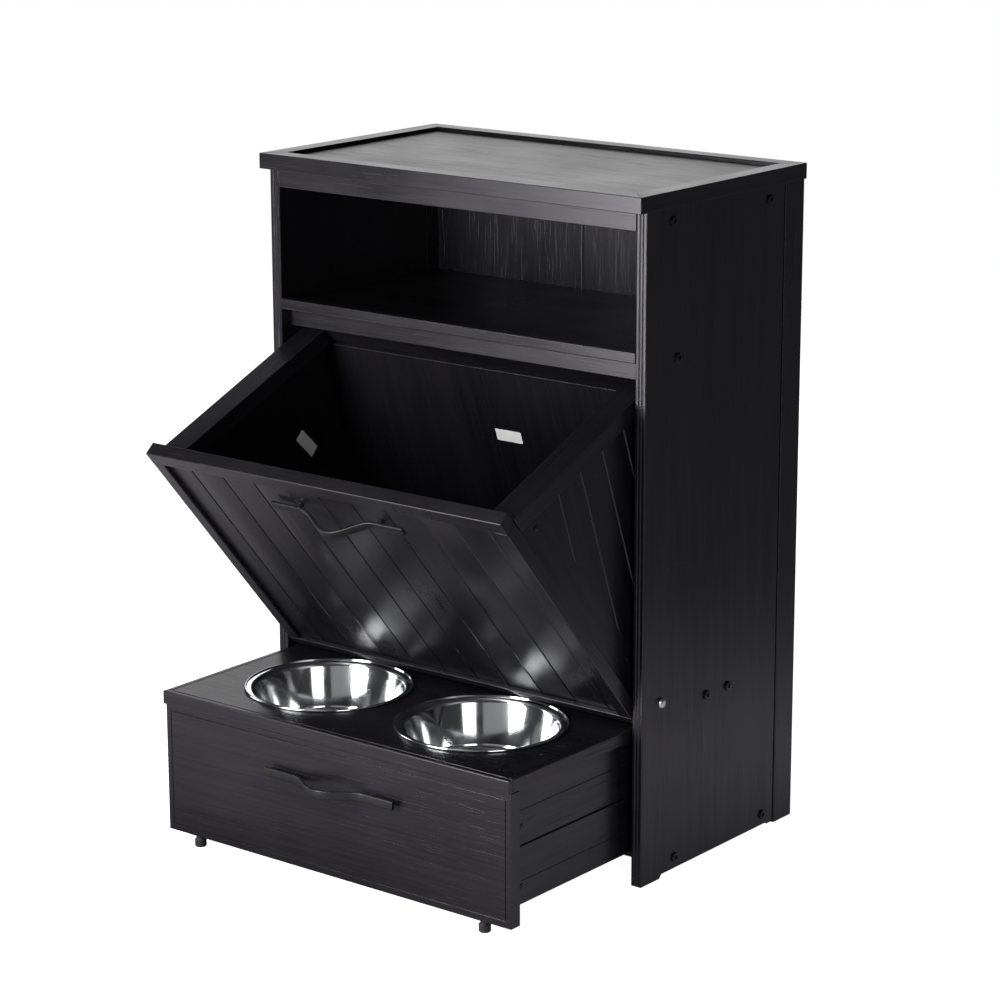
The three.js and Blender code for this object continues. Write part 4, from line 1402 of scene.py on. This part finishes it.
# ------------------------------------------------------------------ studio
@dataclass(frozen=True)
class Softbox:
    """One soft area light, aimed at the object."""

    name: str
    place: Spot
    size: tuple[float, float]
    glow: float

    def build(self, aim: Vector) -> None:
        """Adds the light, with a power that follows its size and its glow.

        Args:
            aim: the point that it faces.
        """
        light = bpy.data.lights.new(self.name, "AREA")
        light.shape = "RECTANGLE"
        light.size, light.size_y = self.size
        light.energy = self.glow * math.pi * self.size[0] * self.size[1]
        made = bpy.data.objects.new(self.name, light)
        made.location = self.place
        made.rotation_euler = (aim - Vector(self.place)).to_track_quat("-Z", "Y").to_euler()
        made.visible_camera = False
        bpy.context.scene.collection.objects.link(made)


@dataclass
class Studio:
    """Pale floor, soft lights and the camera."""

    camera_from_cap: Spot = (2.41146, -3.11562, 1.43210)
    azimuth: float = 38.30
    elevation: float = 14.48
    roll: float = -0.109
    lens: float = 113.13
    sensor: float = 36.0
    floor_size: float = 30.0
    floor_glow: float = 0.97
    # Glow that only rays other than the camera's see, standing in for light off the floor.
    floor_bounce: float = 0.84
    floor_cloth: Colour = (0.8, 0.8, 0.8, 1)
    floor_tint: Colour = (0.98, 0.955, 1.0, 1)
    # Painted shadow under the object and painted pool of light in front of it, in that glow.
    shade_centre: Spot = (-0.15, 0.10, 0.0)
    shade_reach: tuple[float, float] = (0.35, 0.8)
    shade_left: float = 0.08
    light_pool_centre: Spot = (-0.20, -0.45, 0.0)
    light_pool_reach: tuple[float, float] = (0.75, 1.9)
    light_pool_left: float = 0.15
    room_glow: float = 0.04
    lights: tuple[Softbox, ...] = (
        Softbox("backdrop", (-1.8, 2.5, 1.6), (3.2, 1.6), 1.2),
        Softbox("key_front", (-0.38, -1.5, 0.74), (0.6, 1.05), 18.5),
        Softbox("window_left", (-2.4, -0.7, 0.9), (0.8, 1.4), 3.0),
        Softbox("window_right", (2.3, -1.5, 0.9), (0.9, 1.5), 3.2),
        Softbox("room_front", (0.8, -4.2, 1.5), (4.0, 2.4), 0.22),
        Softbox("top", (-0.4, -0.8, 2.6), (1.2, 0.8), 1.2),
    )

    def build(self) -> None:
        """Adds the floor, the lights, the world and the camera."""
        bpy.context.scene.view_settings.view_transform = "Standard"
        self.floor()
        self.world()
        low, high = (Vector(corner) for corner in CAD_BOX)
        for light in self.lights:
            light.build((low + high) / 2)
        self.camera()

    def floor(self) -> None:
        """A wide pale floor, brightest near the object, which is not part of the object. Rays other than the
        camera's see it glow, with a painted shadow under the object and a painted pool of light in front.
        """
        half = self.floor_size / 2
        corners = [Vector((x * half, y * half, 0)) for x, y in ((-1, -1), (1, -1), (1, 1), (-1, 1))]
        mesh = bpy.data.meshes.new("floor")
        mesh.from_pydata([tuple(c) for c in corners], [], [(0, 1, 2, 3)])
        material = bpy.data.materials.new("pale_floor")
        material.use_nodes = True
        material.node_tree.nodes.clear()
        g = Graph(material.node_tree)
        place = g.node("ShaderNodeTexCoord").outputs["Object"]
        from_shade = g.length(g.vector_math("SUBTRACT", place, self.shade_centre))
        from_light_pool = g.length(g.vector_math("SUBTRACT", place, self.light_pool_centre))
        # Painted shade under the object times a painted pool of light in front, for the glow that the object sees.
        lit = g.math(
            "MULTIPLY",
            g.spread(from_shade, *self.shade_reach, self.shade_left, 1.0),
            g.spread(from_light_pool, *self.light_pool_reach, 1.0, self.light_pool_left),
        )
        strength = g.math("MULTIPLY", lit, self.floor_bounce)
        bounce = g.node("ShaderNodeEmission", {"Color": self.floor_tint, "Strength": strength})
        glow = g.node("ShaderNodeEmission", {"Color": WHITE, "Strength": self.floor_glow})
        cloth = g.node("ShaderNodeBsdfDiffuse", {"Color": self.floor_cloth})
        seen = g.node("ShaderNodeAddShader", {0: glow.outputs[0], 1: cloth.outputs[0]})
        direct = g.node("ShaderNodeLightPath").outputs["Is Camera Ray"]
        both = g.node("ShaderNodeMixShader", {0: direct, 1: bounce.outputs[0], 2: seen.outputs[0]})
        g.node("ShaderNodeOutputMaterial", {"Surface": both.outputs[0]})
        mesh.materials.append(material)
        add_object("floor", mesh)

    def world(self) -> None:
        """A white surround that gives the object little light of its own."""
        world = bpy.data.worlds.new("studio")
        world.use_nodes = True
        g = Graph(world.node_tree)
        backdrop = world.node_tree.nodes["Background"]
        direct = g.node("ShaderNodeLightPath").outputs["Is Camera Ray"]
        backdrop.inputs["Color"].default_value = WHITE
        g.feed(backdrop.inputs["Strength"], g.spread(direct, 0.0, 1.0, self.room_glow, 1.0))
        bpy.context.scene.world = world

    def camera(self) -> None:
        """The camera, at the angle and distance that show the object's two open parts."""
        azimuth, elevation = math.radians(self.azimuth), math.radians(self.elevation)
        forward = Vector(
            (
                -math.sin(azimuth) * math.cos(elevation),
                math.cos(azimuth) * math.cos(elevation),
                -math.sin(elevation),
            )
        )
        data = bpy.data.cameras.new("camera")
        data.lens = self.lens
        data.sensor_width = self.sensor
        made = bpy.data.objects.new("camera", data)
        low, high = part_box("cap_trim_left")
        made.location = Vector(self.camera_from_cap) + Vector((0, (low.y + high.y) / 2, 0))
        made.rotation_mode = "QUATERNION"
        turn = Matrix.Rotation(math.radians(self.roll), 3, "Z").to_quaternion()
        made.rotation_quaternion = forward.to_track_quat("-Z", "Y") @ turn
        bpy.context.scene.collection.objects.link(made)
        bpy.context.scene.camera = made


# ------------------------------------------------------------------ assembly
BLACK_WOOD = StainedWood(
    name="black_stained_wood",
    dark=(0.0036, 0.0033, 0.0044, 1),
    light=(0.0088, 0.0080, 0.0104, 1),
    pale_rub_dust_highlight=(0.034, 0.032, 0.038, 1),
    low_roughness=0.26,
    high_roughness=0.35,
)
# Painted light: the top board's copy of the black stain is lighter, so the top reads lighter grey where light
# falls on it.
LIT_TOP_WOOD = StainedWood(
    name="top_stained_wood_lit",
    dark=(0.0060, 0.0056, 0.0068, 1),
    light=(0.0240, 0.0228, 0.0262, 1),
    pale_rub_dust_highlight=(0.050, 0.048, 0.053, 1),
    low_roughness=0.30,
    high_roughness=0.38,
    fibres=300.0,
    relief=0.6 * MM,
    lacquer=0.3,
)
HANDLE_PAINT = HardFinish("satin_black_metal", (0.003, 0.003, 0.0036, 1), 0.0, 0.34, 0.44)
GLIDE_PLASTIC = HardFinish("black_moulding", (0.012, 0.012, 0.012, 1), 0.0, 0.5, 0.62)
ZINC_PLATE = HardFinish("zinc_plate", (0.62, 0.63, 0.65, 1), 1.0, 0.2, 0.34)
LABEL_PAPER = HardFinish("blank_paper", (0.75, 0.75, 0.74, 1), 0.0, 0.5, 0.6)


def main() -> None:
    """Builds the station's looks in order: case, bin, drawer, fittings, studio."""
    logging.basicConfig(level=logging.INFO, format="%(name)s: %(message)s")
    groups = ShaderGroups()
    black = HANDLE_PAINT.make(groups)
    plastic = GLIDE_PLASTIC.make(groups)
    zinc = ZINC_PLATE.make(groups)
    paper = LABEL_PAPER.make(groups)
    boards = Boards(wood=BLACK_WOOD.make(groups), top_wood=LIT_TOP_WOOD.make(groups))
    fasteners = Fasteners()
    handle = WaveHandle()
    bend = handle.tree()
    Cabinet(boards, fasteners, black).build()
    TiltBin(boards, fasteners, black, paper).build(handle, bend)
    BowlDrawer(boards, fasteners, black, plastic).build(groups, handle, bend)
    for side in ("left", "right"):
        frame["nodes"][f"pivot_bolt_{side}"].data.materials[0] = zinc
        frame["nodes"][f"pivot_washer_{side}"].data.materials[0] = plastic
    Studio().build()


if __name__ == "__main__":
    main()
